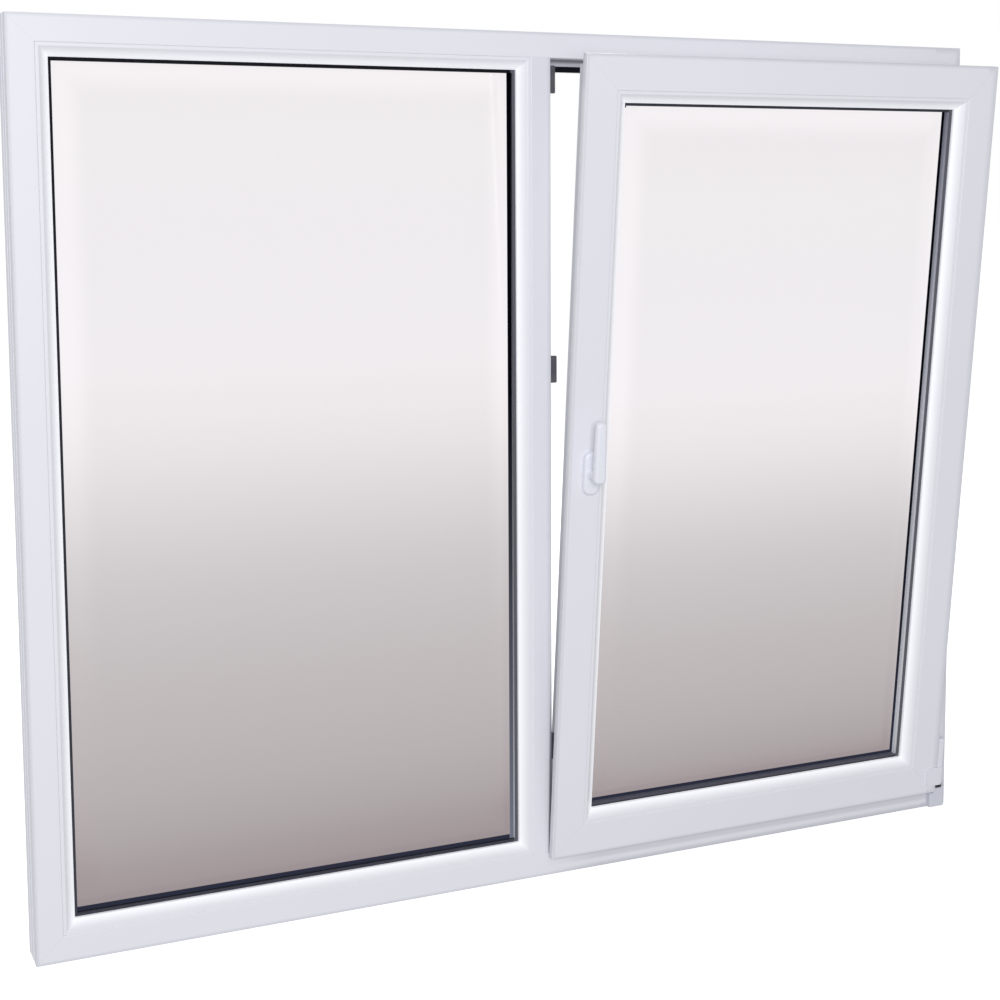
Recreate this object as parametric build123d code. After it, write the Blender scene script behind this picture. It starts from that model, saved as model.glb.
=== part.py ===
"""Two-light PVC window: a fixed light on the left, a tilt-and-turn sash tilted in on the right.

Millimetres. The inside of the room is on the -Y side, the weather side on +Y and +Z is up.
The origin is the middle of the sill's underside.
"""
import os

from build123d import *

# Overall window
WINDOW_WIDTH = 1700.0
WINDOW_HEIGHT = 1450.0

# Outer frame profile
FRAME_DEPTH = 70.0
FRAME_FACE = 42.0
UPSTAND_HEIGHT = 20.0
UPSTAND_THICKNESS = 15.0
MULLION_FACE = 36.0
OUTER_WALL = 3.0
WEB = 1.5
FACE_CHAMBER = 11.0
STEEL_CHAMBER = 27.5
EDGE_RADIUS = 2.0
ANCHOR_GROOVE_WIDTH = 10.0
ANCHOR_GROOVE_DEPTH = 3.0
ANCHOR_GROOVE_MOUTH = 6.0

# Sash profile
SASH_PROUD = 18.0
SASH_BODY = 38.0
FLAP_OVERLAP = 8.0
FLAP_THICKNESS = 16.0
REBATE_AIR = 12.0
REBATE_SEAL = 9.5
REBATE_SEAL_THICKNESS = 2.5
CLOSED_GAP = 0.5
TILT_ANGLE = 6.0
TILT_AXIS_OUT = 5.0
TILT_AXIS_HEIGHT = 33.5

# Glazing
GLASS_THICKNESS = 4.0
GLASS_CAVITY = 20.0
GLASS_EDGE_GAP = 5.0
INNER_SEAL = 3.0
OUTER_SEAL = 3.5
SEAL_LIP = 5.0
SEAL_COVER = 8.0
SPACER_HEIGHT = 8.0
SPACER_SIGHT = 3.0
SPACER_WALL = 0.8
BEAD_FOOT = 5.0
BEAD_FRONT_GAP = 2.0
BEAD_FLAT = 6.0
BEAD_WALL = 1.6
BEAD_RADIUS = 3.0

# Espagnolette gear and keeps
GEAR_WIDTH = 16.0
GEAR_THICKNESS = 2.5
GEAR_GROOVE_WIDTH = 12.0
GEAR_GROOVE_DEPTH = 9.0
GEAR_SETBACK = 11.0
TILT_TRAVEL = 34.0
CORNER_LEG = 130.0
CORNER_LEG_GAP = 0.5
CAM_RADIUS = 4.0
CAM_HEAD_RADIUS = 4.8
CAM_HEAD = 2.0
CAM_REACH = 8.5
KEEP_LENGTH = 46.0
KEEP_WIDTH = 19.0
KEEP_PLATE = 2.5
KEEP_HEIGHT = 8.5
TALL_KEEP_HEIGHT = 10.5
KEEP_LIP = 3.0
KEEP_EASE = 1.5
KEEP_CLEARANCE = 1.0
SILL_LOCK = 72.0
HEAD_LOCK = 35.0
LOW_LOCK = 188.0
LOCK_OVER_HANDLE = 160.0
RAIL_LOCK_SHARES = (0.25, 0.7)

# Handle
HANDLE_HEIGHT = 727.0
HANDLE_BACKSET = 38.0
ROSETTE_WIDTH = 30.0
ROSETTE_HEIGHT = 75.0
ROSETTE_DEPTH = 11.0
NECK_RADIUS = 9.0
NECK_COLLAR = 4.0
LEVER_STAND_OFF = 39.0
LEVER_LENGTH = 94.0
LEVER_WIDTH = 20.0
LEVER_TIP_WIDTH = 17.0
LEVER_THICKNESS = 13.0
LEVER_TIP_THICKNESS = 9.0
LEVER_EASE = 3.5

# Hinge side
BARREL_RADIUS = 8.5
BARREL_OUT = 9.0
BARREL_CLEARANCE = 1.0
BARREL_CAP = 5.0
HINGE_BOTTOM = 50.0
HINGE_LENGTH = 86.0
HINGE_LEAF_WIDTH = 24.0
HINGE_LEAF_HEIGHT = 36.0
BEARING_BOTTOM = 2.0
BEARING_TOP = 40.0
BEARING_REACH = 14.0
BEARING_FOOT = 9.0
BEARING_FOOT_TOP = 30.0
BEARING_DEPTH = 14.0
PIN_RADIUS = 4.0
PIN_GAP = 0.3
STAY_LENGTH = 380.0
STAY_WIDTH = 14.0
STAY_THICKNESS = 3.0
STAY_BARREL = 55.0
STAY_PLATE_WIDTH = 24.0
SLIDER_LENGTH = 60.0
SLIDER_HEIGHT = 7.0
LEAF_THICKNESS = 3.0

# Water drainage
DRAIN_LENGTH = 28.0
DRAIN_HEIGHT = 5.0
DRAIN_CAP_LENGTH = 42.0
DRAIN_CAP_HEIGHT = 15.0
DRAIN_CAP_DEPTH = 5.0
DRAIN_LEVEL = 22.0
DRAIN_SHARES = (0.12, 0.38, 0.62, 0.88)

# Worked out from the sizes above
INSIDE = -FRAME_DEPTH / 2
OUTSIDE = FRAME_DEPTH / 2
UPSTAND_FRONT = FRAME_DEPTH - UPSTAND_THICKNESS
SASH_DEPTH = UPSTAND_FRONT - REBATE_SEAL_THICKNESS - CLOSED_GAP + SASH_PROUD
OPENING_WIDTH = (WINDOW_WIDTH - MULLION_FACE) / 2 - FRAME_FACE
OPENING_HEIGHT = WINDOW_HEIGHT - 2 * FRAME_FACE
SASH_WIDTH = OPENING_WIDTH + 2 * FLAP_OVERLAP
SASH_HEIGHT = OPENING_HEIGHT + 2 * FLAP_OVERLAP
SASH_LEFT = MULLION_FACE / 2 - FLAP_OVERLAP
SASH_RIGHT = SASH_LEFT + SASH_WIDTH
SASH_BOTTOM = FRAME_FACE - FLAP_OVERLAP
SASH_INSIDE = INSIDE - SASH_PROUD
FLAP_RETURN = FLAP_OVERLAP + REBATE_AIR
SASH_REBATE = FLAP_RETURN + SASH_BODY
GEAR_CENTRE = FLAP_THICKNESS + GEAR_SETBACK
LOCK_HEIGHTS = (
    FRAME_FACE + SILL_LOCK,
    FRAME_FACE + LOW_LOCK,
    HANDLE_HEIGHT + LOCK_OVER_HANDLE,
    WINDOW_HEIGHT - FRAME_FACE - HEAD_LOCK,
)


def box_between(low, high):
    """Box from its lowest corner to its highest."""
    size = [b - a for a, b in zip(low, high)]
    middle = [(a + b) / 2 for a, b in zip(low, high)]
    return Pos(*middle) * Box(*size)


def rectangle_between(low, high):
    """Rectangle from its lowest corner to its highest."""
    middle = ((low[0] + high[0]) / 2, (low[1] + high[1]) / 2)
    return Pos(*middle) * Rectangle(high[0] - low[0], high[1] - low[1])


def corner_near(sketch, x, y):
    """The sketch's corner that lies nearest to a point."""
    return sketch.vertices().sort_by_distance(Vector(x, y))[0]


def eased(sketch, corners, radius):
    """The sketch with the named corners rounded."""
    for x, y in corners:
        sketch = fillet(corner_near(sketch, x, y), radius)
    return sketch


def mitred_bar(profile, length):
    """Bar along X with its outer edge on Z = 0, its inner face on Y = 0 and both ends at 45 degrees."""
    half = length / 2
    reach = profile.bounding_box().max.Y + 1
    bar = extrude(Plane.YZ * profile, half, both=True)
    plan = Polygon((-half, 0), (half, 0), (half - reach, reach), (reach - half, reach), align=None)
    return bar & extrude(Plane.XZ * plan, 2 * FRAME_DEPTH, both=True)


def ring(profile, width, height):
    """Four mitred bars round a rectangle that starts at the origin."""
    level = mitred_bar(profile, width)
    upright = mitred_bar(profile, height)
    return {
        "bottom": Pos(width / 2, 0, 0) * level,
        "top": Pos(width / 2, 0, height) * Rot(0, 180, 0) * level,
        "left": Pos(0, 0, height / 2) * Rot(0, 90, 0) * upright,
        "right": Pos(width, 0, height / 2) * Rot(0, -90, 0) * upright,
    }


def joined_ring(profile, width, height):
    """The same four bars as one continuous ring."""
    sides = list(ring(profile, width, height).values())
    return sides[0].fuse(*sides[1:])


def tilted(shape):
    """Swings a closed sash piece in about the tilt axis."""
    axis_y = INSIDE - TILT_AXIS_OUT
    return Pos(0, axis_y, TILT_AXIS_HEIGHT) * Rot(TILT_ANGLE, 0, 0) * Pos(0, -axis_y, -TILT_AXIS_HEIGHT) * shape


def chambers(depths, low, high):
    """Hollow chambers side by side between two levels of a profile."""
    return [rectangle_between((start, low), (end, high)) for start, end in depths]


def body_depths():
    """Depths of the face, steel and middle chambers, from the room side."""
    face_end = OUTER_WALL + FACE_CHAMBER
    steel_end = face_end + WEB + STEEL_CHAMBER
    return [(OUTER_WALL, face_end), (face_end + WEB, steel_end), (steel_end + WEB, UPSTAND_FRONT + WEB)]


def anchor_groove(middle):
    """Undercut groove on the wall side that takes the fixing clips."""
    mouth = rectangle_between(
        (middle - ANCHOR_GROOVE_MOUTH / 2, 0), (middle + ANCHOR_GROOVE_MOUTH / 2, ANCHOR_GROOVE_DEPTH / 2))
    pocket = rectangle_between(
        (middle - ANCHOR_GROOVE_WIDTH / 2, ANCHOR_GROOVE_DEPTH / 2),
        (middle + ANCHOR_GROOVE_WIDTH / 2, ANCHOR_GROOVE_DEPTH))
    return mouth + pocket


def frame_outline():
    """L-shaped outer frame section: depth from the room along X, height into the opening along Y."""
    top = FRAME_FACE + UPSTAND_HEIGHT
    outline = Polygon(
        (0, 0), (FRAME_DEPTH, 0), (FRAME_DEPTH, top), (UPSTAND_FRONT, top),
        (UPSTAND_FRONT, FRAME_FACE), (0, FRAME_FACE), align=None)
    return eased(outline, [(0, FRAME_FACE), (FRAME_DEPTH, top), (UPSTAND_FRONT, top)], EDGE_RADIUS)


def frame_profile():
    """The frame section with its hollow chambers and the anchor grooves on the wall side."""
    top = FRAME_FACE + UPSTAND_HEIGHT
    outline = frame_outline()
    floor = ANCHOR_GROOVE_DEPTH + OUTER_WALL
    outline -= chambers(body_depths(), floor, FRAME_FACE - OUTER_WALL)
    leg = (UPSTAND_FRONT + WEB + WEB, FRAME_DEPTH - OUTER_WALL)
    outline -= chambers([leg], floor, top - OUTER_WALL)
    for share in (1 / 3, 2 / 3):
        outline -= anchor_groove(FRAME_DEPTH * share)
    return outline


def mullion_profile():
    """T-shaped section: depth from the room along X, width across the mullion along Y."""
    face = MULLION_FACE / 2
    wing = face + UPSTAND_HEIGHT
    outline = Polygon(
        (0, -face), (0, face), (UPSTAND_FRONT, face), (UPSTAND_FRONT, wing),
        (FRAME_DEPTH, wing), (FRAME_DEPTH, -wing), (UPSTAND_FRONT, -wing), (UPSTAND_FRONT, -face), align=None)
    corners = [(0, -face), (0, face)]
    corners += [(depth, side * wing) for depth in (UPSTAND_FRONT, FRAME_DEPTH) for side in (-1, 1)]
    outline = eased(outline, corners, EDGE_RADIUS)
    outline -= chambers(body_depths(), OUTER_WALL - face, face - OUTER_WALL)
    leg = (UPSTAND_FRONT + WEB + WEB, FRAME_DEPTH - OUTER_WALL)
    return outline - chambers([leg], OUTER_WALL - wing, wing - OUTER_WALL)


def sash_profile():
    """Sash section with its flap, gear groove and glazing rebate, measured from the flap's edge."""
    front = SASH_DEPTH - UPSTAND_THICKNESS
    top = SASH_REBATE + UPSTAND_HEIGHT
    outline = Polygon(
        (0, 0), (FLAP_THICKNESS, 0), (FLAP_THICKNESS, FLAP_RETURN), (SASH_DEPTH, FLAP_RETURN),
        (SASH_DEPTH, top), (front, top), (front, SASH_REBATE), (0, SASH_REBATE), align=None)
    corners = [(0, 0), (FLAP_THICKNESS, 0), (SASH_DEPTH, FLAP_RETURN), (SASH_DEPTH, top), (front, top), (0, SASH_REBATE)]
    outline = eased(outline, corners, EDGE_RADIUS)
    groove_floor = FLAP_RETURN + GEAR_GROOVE_DEPTH
    seat_end = GEAR_CENTRE + GEAR_WIDTH / 2
    outline -= rectangle_between(
        (GEAR_CENTRE - GEAR_WIDTH / 2, FLAP_RETURN), (seat_end, FLAP_RETURN + GEAR_THICKNESS))
    outline -= rectangle_between(
        (GEAR_CENTRE - GEAR_GROOVE_WIDTH / 2, FLAP_RETURN), (GEAR_CENTRE + GEAR_GROOVE_WIDTH / 2, groove_floor))
    face_end = FLAP_THICKNESS - OUTER_WALL
    steel_end = GEAR_CENTRE + GEAR_GROOVE_WIDTH / 2 + STEEL_CHAMBER / 2
    roof = SASH_REBATE - OUTER_WALL
    outline -= chambers([(OUTER_WALL, face_end)], OUTER_WALL, roof)
    outline -= chambers([(face_end + WEB, steel_end)], groove_floor + OUTER_WALL, roof)
    outline -= chambers([(steel_end + WEB, front + WEB)], FLAP_RETURN + OUTER_WALL, roof)
    return outline - chambers([(front + 2 * WEB, SASH_DEPTH - OUTER_WALL)], FLAP_RETURN + OUTER_WALL, top - OUTER_WALL)


def glazing_planes(depth):
    """Depths of the bead's back, the inner pane, the cavity, the outer pane and the outer seal."""
    seal_back = depth - UPSTAND_THICKNESS
    outer_back = seal_back - OUTER_SEAL
    outer_front = outer_back - GLASS_THICKNESS
    inner_back = outer_front - GLASS_CAVITY
    inner_front = inner_back - GLASS_THICKNESS
    bead_back = inner_front - INNER_SEAL
    return bead_back, inner_front, inner_back, outer_front, outer_back, seal_back


def bead_profile(back):
    """Hollow glazing bead with a sloping front, standing on the rebate."""
    top = UPSTAND_HEIGHT
    ridge = back - BEAD_FLAT
    outline = Polygon((BEAD_FRONT_GAP, 0), (back, 0), (back, top), (ridge, top), (BEAD_FRONT_GAP, BEAD_FOOT), align=None)
    outline = eased(outline, [(ridge, top)], BEAD_RADIUS)
    outline = eased(outline, [(BEAD_FRONT_GAP, BEAD_FOOT)], BEAD_RADIUS / 2)
    return outline - offset(outline, -BEAD_WALL)


def seal_profile(front, back):
    """Flat rubber seal between glass and plastic with a rounded lip past the sight line."""
    tip = UPSTAND_HEIGHT + SEAL_LIP
    strip = rectangle_between((front, UPSTAND_HEIGHT - SEAL_COVER), (back, tip))
    return eased(strip, [(front, tip), (back, tip)], (back - front) / 3)


def pane(width, height, front, back):
    """Sheet of glass held clear of the rebate all round."""
    gap = GLASS_EDGE_GAP
    return box_between((gap, front, gap), (width - gap, back, height - gap))


def spacer(width, height, front, back):
    """Hollow aluminium spacer between the two panes."""
    outer = UPSTAND_HEIGHT - SPACER_SIGHT - SPACER_HEIGHT
    tube = rectangle_between((front, 0), (back, SPACER_HEIGHT))
    tube -= offset(tube, -SPACER_WALL)
    return Pos(outer, 0, outer) * joined_ring(tube, width - 2 * outer, height - 2 * outer)


def glazing(prefix, width, height, depth):
    """Glass, spacer, seals and beads of a light whose rebate starts at the origin."""
    bead_back, inner_front, inner_back, outer_front, outer_back, seal_back = glazing_planes(depth)
    pieces = {f"{prefix}_bead_{side}": bar for side, bar in ring(bead_profile(bead_back), width, height).items()}
    pieces[f"{prefix}_pane_inner"] = pane(width, height, inner_front, inner_back)
    pieces[f"{prefix}_pane_outer"] = pane(width, height, outer_front, outer_back)
    pieces[f"{prefix}_spacer"] = spacer(width, height, inner_back, outer_front)
    pieces[f"{prefix}_seal_inner"] = joined_ring(seal_profile(bead_back, inner_front), width, height)
    pieces[f"{prefix}_seal_outer"] = joined_ring(seal_profile(outer_back, seal_back), width, height)
    return pieces


def drain_places():
    """Middles of the drain slots along the sill, two under each light."""
    return [(share - 0.5) * WINDOW_WIDTH for share in DRAIN_SHARES]


def drained(sill):
    """The sill with slots through its rebate floor and its weather face."""
    for x in drain_places():
        low = (x - DRAIN_LENGTH / 2, INSIDE + UPSTAND_FRONT - 2 * DRAIN_HEIGHT, FRAME_FACE - 2 * OUTER_WALL)
        high = (x + DRAIN_LENGTH / 2, INSIDE + UPSTAND_FRONT - DRAIN_HEIGHT, FRAME_FACE + OUTER_WALL)
        sill -= box_between(low, high)
        low = (x - DRAIN_LENGTH / 2, OUTSIDE - 2 * OUTER_WALL, DRAIN_LEVEL - DRAIN_HEIGHT / 2)
        high = (x + DRAIN_LENGTH / 2, OUTSIDE + OUTER_WALL, DRAIN_LEVEL + DRAIN_HEIGHT / 2)
        sill -= box_between(low, high)
    return sill


def outer_frame():
    """Sill, head and jambs, welded at the mitres, and the mullion between sill and head."""
    sides = ring(frame_profile(), WINDOW_WIDTH, WINDOW_HEIGHT)
    placed = {side: Pos(-WINDOW_WIDTH / 2, INSIDE, 0) * bar for side, bar in sides.items()}
    overrun = FRAME_FACE - EDGE_RADIUS
    post = extrude(mullion_profile(), WINDOW_HEIGHT - 2 * overrun, dir=(0, 0, 1))
    post = Pos(0, INSIDE, overrun) * Rot(0, 0, 90) * post
    for shape in ring(frame_outline(), WINDOW_WIDTH, WINDOW_HEIGHT).values():
        post -= Pos(-WINDOW_WIDTH / 2, INSIDE, 0) * shape
    return {
        "frame_sill": drained(placed["bottom"]),
        "frame_head": placed["top"],
        "frame_left_jamb": placed["left"],
        "frame_right_jamb": placed["right"],
        "mullion": post,
    }


def drain_caps():
    """Covers clipped over the drain slots, open underneath."""
    outline = Rectangle(DRAIN_CAP_LENGTH, DRAIN_CAP_HEIGHT)
    outline = chamfer(outline.vertices(), DRAIN_CAP_HEIGHT / 4)
    cap = extrude(Plane.XZ * outline, -DRAIN_CAP_DEPTH)
    cap = chamfer(cap.faces().sort_by(Axis.Y)[-1].edges(), DRAIN_CAP_DEPTH / 3)
    roof = DRAIN_CAP_DEPTH - OUTER_WALL / 2
    cap -= box_between((-DRAIN_LENGTH / 2, 0, -DRAIN_CAP_HEIGHT), (DRAIN_LENGTH / 2, roof, DRAIN_HEIGHT / 2))
    return Compound(children=[Pos(x, OUTSIDE, DRAIN_LEVEL) * cap for x in drain_places()])


def rebate_seal():
    """Seal ring on the frame's upstand that the closed sash presses against."""
    front = UPSTAND_FRONT - REBATE_SEAL_THICKNESS
    low = UPSTAND_HEIGHT - REBATE_SEAL
    strip = rectangle_between((front, low), (UPSTAND_FRONT, UPSTAND_HEIGHT))
    strip = eased(strip, [(front, low), (front, UPSTAND_HEIGHT)], REBATE_SEAL_THICKNESS / 3)
    return Pos(MULLION_FACE / 2, INSIDE, FRAME_FACE) * joined_ring(strip, OPENING_WIDTH, OPENING_HEIGHT)


def flap_seal():
    """Seal ring on the back of the sash flap."""
    thick = SASH_PROUD - FLAP_THICKNESS - CLOSED_GAP
    strip = rectangle_between((FLAP_THICKNESS, EDGE_RADIUS), (FLAP_THICKNESS + thick, FLAP_OVERLAP))
    return joined_ring(strip, SASH_WIDTH, SASH_HEIGHT)


def cam():
    """Mushroom cam standing on Z = 0 and pointing up."""
    outline = Polygon(
        (0, 0), (CAM_RADIUS, 0), (CAM_RADIUS, CAM_REACH - CAM_HEAD), (CAM_HEAD_RADIUS, CAM_REACH - CAM_HEAD),
        (CAM_HEAD_RADIUS, CAM_REACH), (0, CAM_REACH), align=None)
    return revolve(Plane.XZ * outline, Axis.Z)


def gear_strip(length, cams):
    """Faceplate along X from the origin with cams above it at the stated places."""
    strip = box_between((0, -GEAR_WIDTH / 2, -GEAR_THICKNESS), (length, GEAR_WIDTH / 2, 0))
    strip = fillet(strip.edges().filter_by(Axis.Z), GEAR_WIDTH / 4)
    for place in cams:
        strip += Pos(place, 0, 0) * cam()
    return strip


def corner_drive(lock):
    """Angled faceplate and cam round the sash's lower left corner, with the cam that far over the rebate."""
    leg = CORNER_LEG - CORNER_LEG_GAP
    edge = FLAP_RETURN
    front = GEAR_CENTRE - GEAR_WIDTH / 2
    outer = box_between((edge, front, edge), (edge + leg, front + GEAR_WIDTH, edge + leg))
    step = edge + GEAR_THICKNESS
    inner = box_between((step, 0, step), (step + leg, SASH_DEPTH, step + leg))
    place = Pos(edge, GEAR_CENTRE, FLAP_OVERLAP + lock)
    return outer - inner + place * Rot(0, -90, 0) * cam()


def gear():
    """Faceplates on the four edges of the sash and the two corner drives, with the cams run clear of the keeps."""
    width = SASH_WIDTH - 2 * FLAP_RETURN
    height = SASH_HEIGHT - 2 * FLAP_RETURN
    run_up = height - 2 * CORNER_LEG
    run_across = width - 2 * CORNER_LEG
    start = FLAP_RETURN + CORNER_LEG
    lock_cams = [z - SASH_BOTTOM - start - TILT_TRAVEL for z in LOCK_HEIGHTS[1:-1]]
    rail_cams = [share * run_across for share in RAIL_LOCK_SHARES]
    top_cam = rail_cams[0] - TILT_TRAVEL
    bottom_cams = [run_across - place - TILT_TRAVEL for place in rail_cams]
    hinge_cam = run_up + start + SASH_BOTTOM - HANDLE_HEIGHT - TILT_TRAVEL
    lock_place = Pos(FLAP_RETURN, GEAR_CENTRE, start) * Rot(0, -90, 0)
    hinge_place = Pos(SASH_WIDTH - FLAP_RETURN, GEAR_CENTRE, start + run_up) * Rot(0, 90, 0)
    top_place = Pos(start, GEAR_CENTRE, SASH_HEIGHT - FLAP_RETURN)
    bottom_place = Pos(start + run_across, GEAR_CENTRE, FLAP_RETURN) * Rot(0, 180, 0)
    return {
        "gear_lock_side": lock_place * gear_strip(run_up, lock_cams),
        "gear_hinge_side": hinge_place * gear_strip(run_up, [hinge_cam]),
        "gear_top": top_place * gear_strip(run_across, [top_cam]),
        "gear_bottom": bottom_place * gear_strip(run_across, bottom_cams),
        "corner_drive_bottom": corner_drive(SILL_LOCK - TILT_TRAVEL),
        "corner_drive_top": Pos(0, 0, SASH_HEIGHT) * mirror(corner_drive(HEAD_LOCK + TILT_TRAVEL), Plane.XY),
    }


def keep(height=KEEP_HEIGHT):
    """Striker on Z = 0 along X, with a raised lip on the room side that holds the cam behind it."""
    half = KEEP_LENGTH / 2
    plate = box_between((-half, 0, 0), (half, KEEP_WIDTH, KEEP_PLATE))
    lip = box_between((-half, 0, 0), (half, KEEP_LIP, height))
    lip = chamfer(lip.edges().filter_by(Axis.Y).group_by(Axis.Z)[-1], KEEP_EASE)
    return plate + lip


def keeps():
    """Keeps on the mullion, the head, the sill and the hinge jamb, opposite the cams."""
    front = INSIDE + KEEP_CLEARANCE
    left = MULLION_FACE / 2
    run = SASH_WIDTH - 2 * FLAP_RETURN - 2 * CORNER_LEG
    rail_start = SASH_LEFT + FLAP_RETURN + CORNER_LEG
    kinds = (keep(), keep(), keep(TALL_KEEP_HEIGHT), keep())
    placed = [Pos(left, front, z) * Rot(0, 90, 0) * kind for z, kind in zip(LOCK_HEIGHTS, kinds)]
    placed.append(Pos(left + OPENING_WIDTH, front, HANDLE_HEIGHT) * Rot(0, -90, 0) * keep())
    placed += [Pos(rail_start + share * run, front, FRAME_FACE) * keep() for share in RAIL_LOCK_SHARES]
    over = Pos(rail_start + RAIL_LOCK_SHARES[0] * run, front, WINDOW_HEIGHT - FRAME_FACE)
    placed.append(over * Rot(0, 180, 0) * keep())
    return Compound(children=placed)


def handle_place():
    """Middle of the handle's base on the sash's inner face."""
    return Pos(HANDLE_BACKSET, 0, HANDLE_HEIGHT - SASH_BOTTOM)


def rosette():
    """Base plate of the handle, standing out of the sash's inner face."""
    outline = RectangleRounded(ROSETTE_WIDTH, ROSETTE_HEIGHT, ROSETTE_WIDTH / 2.2)
    plate = extrude(Plane.XZ * outline, ROSETTE_DEPTH)
    plate = chamfer(plate.faces().sort_by(Axis.Y)[0].edges(), ROSETTE_DEPTH / 3)
    return handle_place() * plate


def lever():
    """Cranked lever pointing up: a collared neck and a flat grip that tapers to its tip."""
    front = Circle(LEVER_WIDTH / 2) + Pos(0, LEVER_LENGTH - LEVER_TIP_WIDTH / 2) * Circle(LEVER_TIP_WIDTH / 2)
    blank = extrude(Plane.XZ * make_hull(front.edges()), 2 * LEVER_STAND_OFF)
    low = -LEVER_WIDTH
    middle = -LEVER_STAND_OFF
    side = Polygon(
        (middle - LEVER_THICKNESS / 2, low), (middle + LEVER_THICKNESS / 2, low),
        (middle + LEVER_TIP_THICKNESS / 2, LEVER_LENGTH), (middle - LEVER_TIP_THICKNESS / 2, LEVER_LENGTH),
        align=None)
    grip = blank & extrude(Plane.YZ * side, LEVER_WIDTH, both=True)
    inner = grip.faces().sort_by(Axis.Y)[-1]
    outer = grip.faces().sort_by(Axis.Y)[0]
    grip = chamfer(outer.edges() + inner.edges(), LEVER_EASE)
    reach = LEVER_STAND_OFF - ROSETTE_DEPTH
    neck = Pos(0, -ROSETTE_DEPTH, 0) * extrude(Plane.XZ * Circle(NECK_RADIUS), reach)
    collar = Pos(0, -ROSETTE_DEPTH, 0) * extrude(Plane.XZ * Circle(LEVER_WIDTH / 2), NECK_COLLAR)
    return handle_place() * (neck + collar + grip)


def barrel_place():
    """Plan position of the hinge axis beside the sash."""
    return SASH_RIGHT + BARREL_CLEARANCE + BARREL_RADIUS, INSIDE - BARREL_OUT


def corner_hinge():
    """Frame bearing, pin and sash barrel with its cover leaf at the lower right corner."""
    x, y = barrel_place()
    left = x - BARREL_RADIUS
    right = x + BEARING_REACH
    front = INSIDE - BEARING_DEPTH
    bearing = box_between((left, front, BEARING_BOTTOM), (right, INSIDE, BEARING_TOP))
    bearing += box_between((left - BEARING_FOOT, front, BEARING_BOTTOM), (right, INSIDE, BEARING_FOOT_TOP))
    outer = bearing.faces().sort_by(Axis.Y)[0]
    bearing = chamfer(outer.edges(), BEARING_DEPTH / 6)
    pin = Pos(x, y, BEARING_TOP) * extrude(Circle(PIN_RADIUS), HINGE_BOTTOM - BEARING_TOP - PIN_GAP - 1)
    seat = rectangle_between((SASH_RIGHT, y - BARREL_RADIUS), (x, y + BARREL_RADIUS - BARREL_CLEARANCE))
    section = seat + Pos(x, y) * Circle(BARREL_RADIUS - BARREL_CLEARANCE / 2)
    barrel = Pos(0, 0, HINGE_BOTTOM) * extrude(section, HINGE_LENGTH)
    top = HINGE_BOTTOM + HINGE_LENGTH
    cap = Pos(x, y, top) * extrude(Circle(BARREL_RADIUS - BARREL_CLEARANCE / 2), BARREL_CAP)
    cap = chamfer(cap.edges().sort_by(Axis.Z)[-1], BARREL_CAP / 2)
    face = SASH_INSIDE - LEAF_THICKNESS
    leaf = box_between(
        (SASH_RIGHT - HINGE_LEAF_WIDTH, face, HINGE_BOTTOM), (x, SASH_INSIDE, HINGE_BOTTOM + HINGE_LEAF_HEIGHT))
    leaf += box_between((SASH_RIGHT, face, HINGE_BOTTOM), (x, y, HINGE_BOTTOM + HINGE_LEAF_HEIGHT))
    leaf = fillet(leaf.edges().filter_by(Axis.Y).group_by(Axis.X)[0], HINGE_LEAF_WIDTH / 4)
    cover = barrel + cap + leaf
    return {"corner_hinge_bearing": bearing, "corner_hinge_pin": pin, "corner_hinge_barrel": tilted(cover)}


def stay():
    """Stay that limits the tilt: frame bearing at the top right, arm, and slider on the sash."""
    x, y = barrel_place()
    slider_top = SASH_BOTTOM + SASH_HEIGHT - FLAP_RETURN + SLIDER_HEIGHT
    seat = tilted(Pos(0, SASH_INSIDE + GEAR_CENTRE + STAY_WIDTH / 2, slider_top)).position
    arm_level = seat.Z + PIN_GAP
    end_y = seat.Y - STAY_WIDTH / 2
    end_x = x - (STAY_LENGTH ** 2 - (y - end_y) ** 2) ** 0.5
    plan = SlotCenterToCenter(STAY_LENGTH, STAY_WIDTH)
    heading = Vector(end_x - x, end_y - y).get_signed_angle(Vector(1, 0), Vector(0, 0, -1))
    middle = Pos((x + end_x) / 2, (y + end_y) / 2, arm_level)
    arm = middle * Rot(0, 0, heading) * extrude(plan, STAY_THICKNESS)
    barrel = extrude(Pos(x, y) * Circle(BARREL_RADIUS - BARREL_CLEARANCE / 2), STAY_BARREL)
    leaf = box_between((x - BARREL_RADIUS / 2, y, 0), (x + BARREL_RADIUS / 2, INSIDE, STAY_BARREL))
    plate = box_between(
        (x - BARREL_RADIUS / 2, INSIDE - LEAF_THICKNESS, 0), (x - BARREL_RADIUS / 2 + STAY_PLATE_WIDTH, INSIDE, STAY_BARREL))
    bearing = Pos(0, 0, arm_level - STAY_BARREL) * (barrel + leaf + plate)
    base = SASH_BOTTOM + SASH_HEIGHT - FLAP_RETURN
    slider = box_between(
        (end_x - SLIDER_LENGTH / 2, SASH_INSIDE + GEAR_CENTRE - STAY_WIDTH / 2, base),
        (end_x + SLIDER_LENGTH / 2, SASH_INSIDE + GEAR_CENTRE + STAY_WIDTH / 2, slider_top))
    return {"stay_arm": arm, "stay_bearing": bearing, "stay_slider": tilted(slider)}


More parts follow.
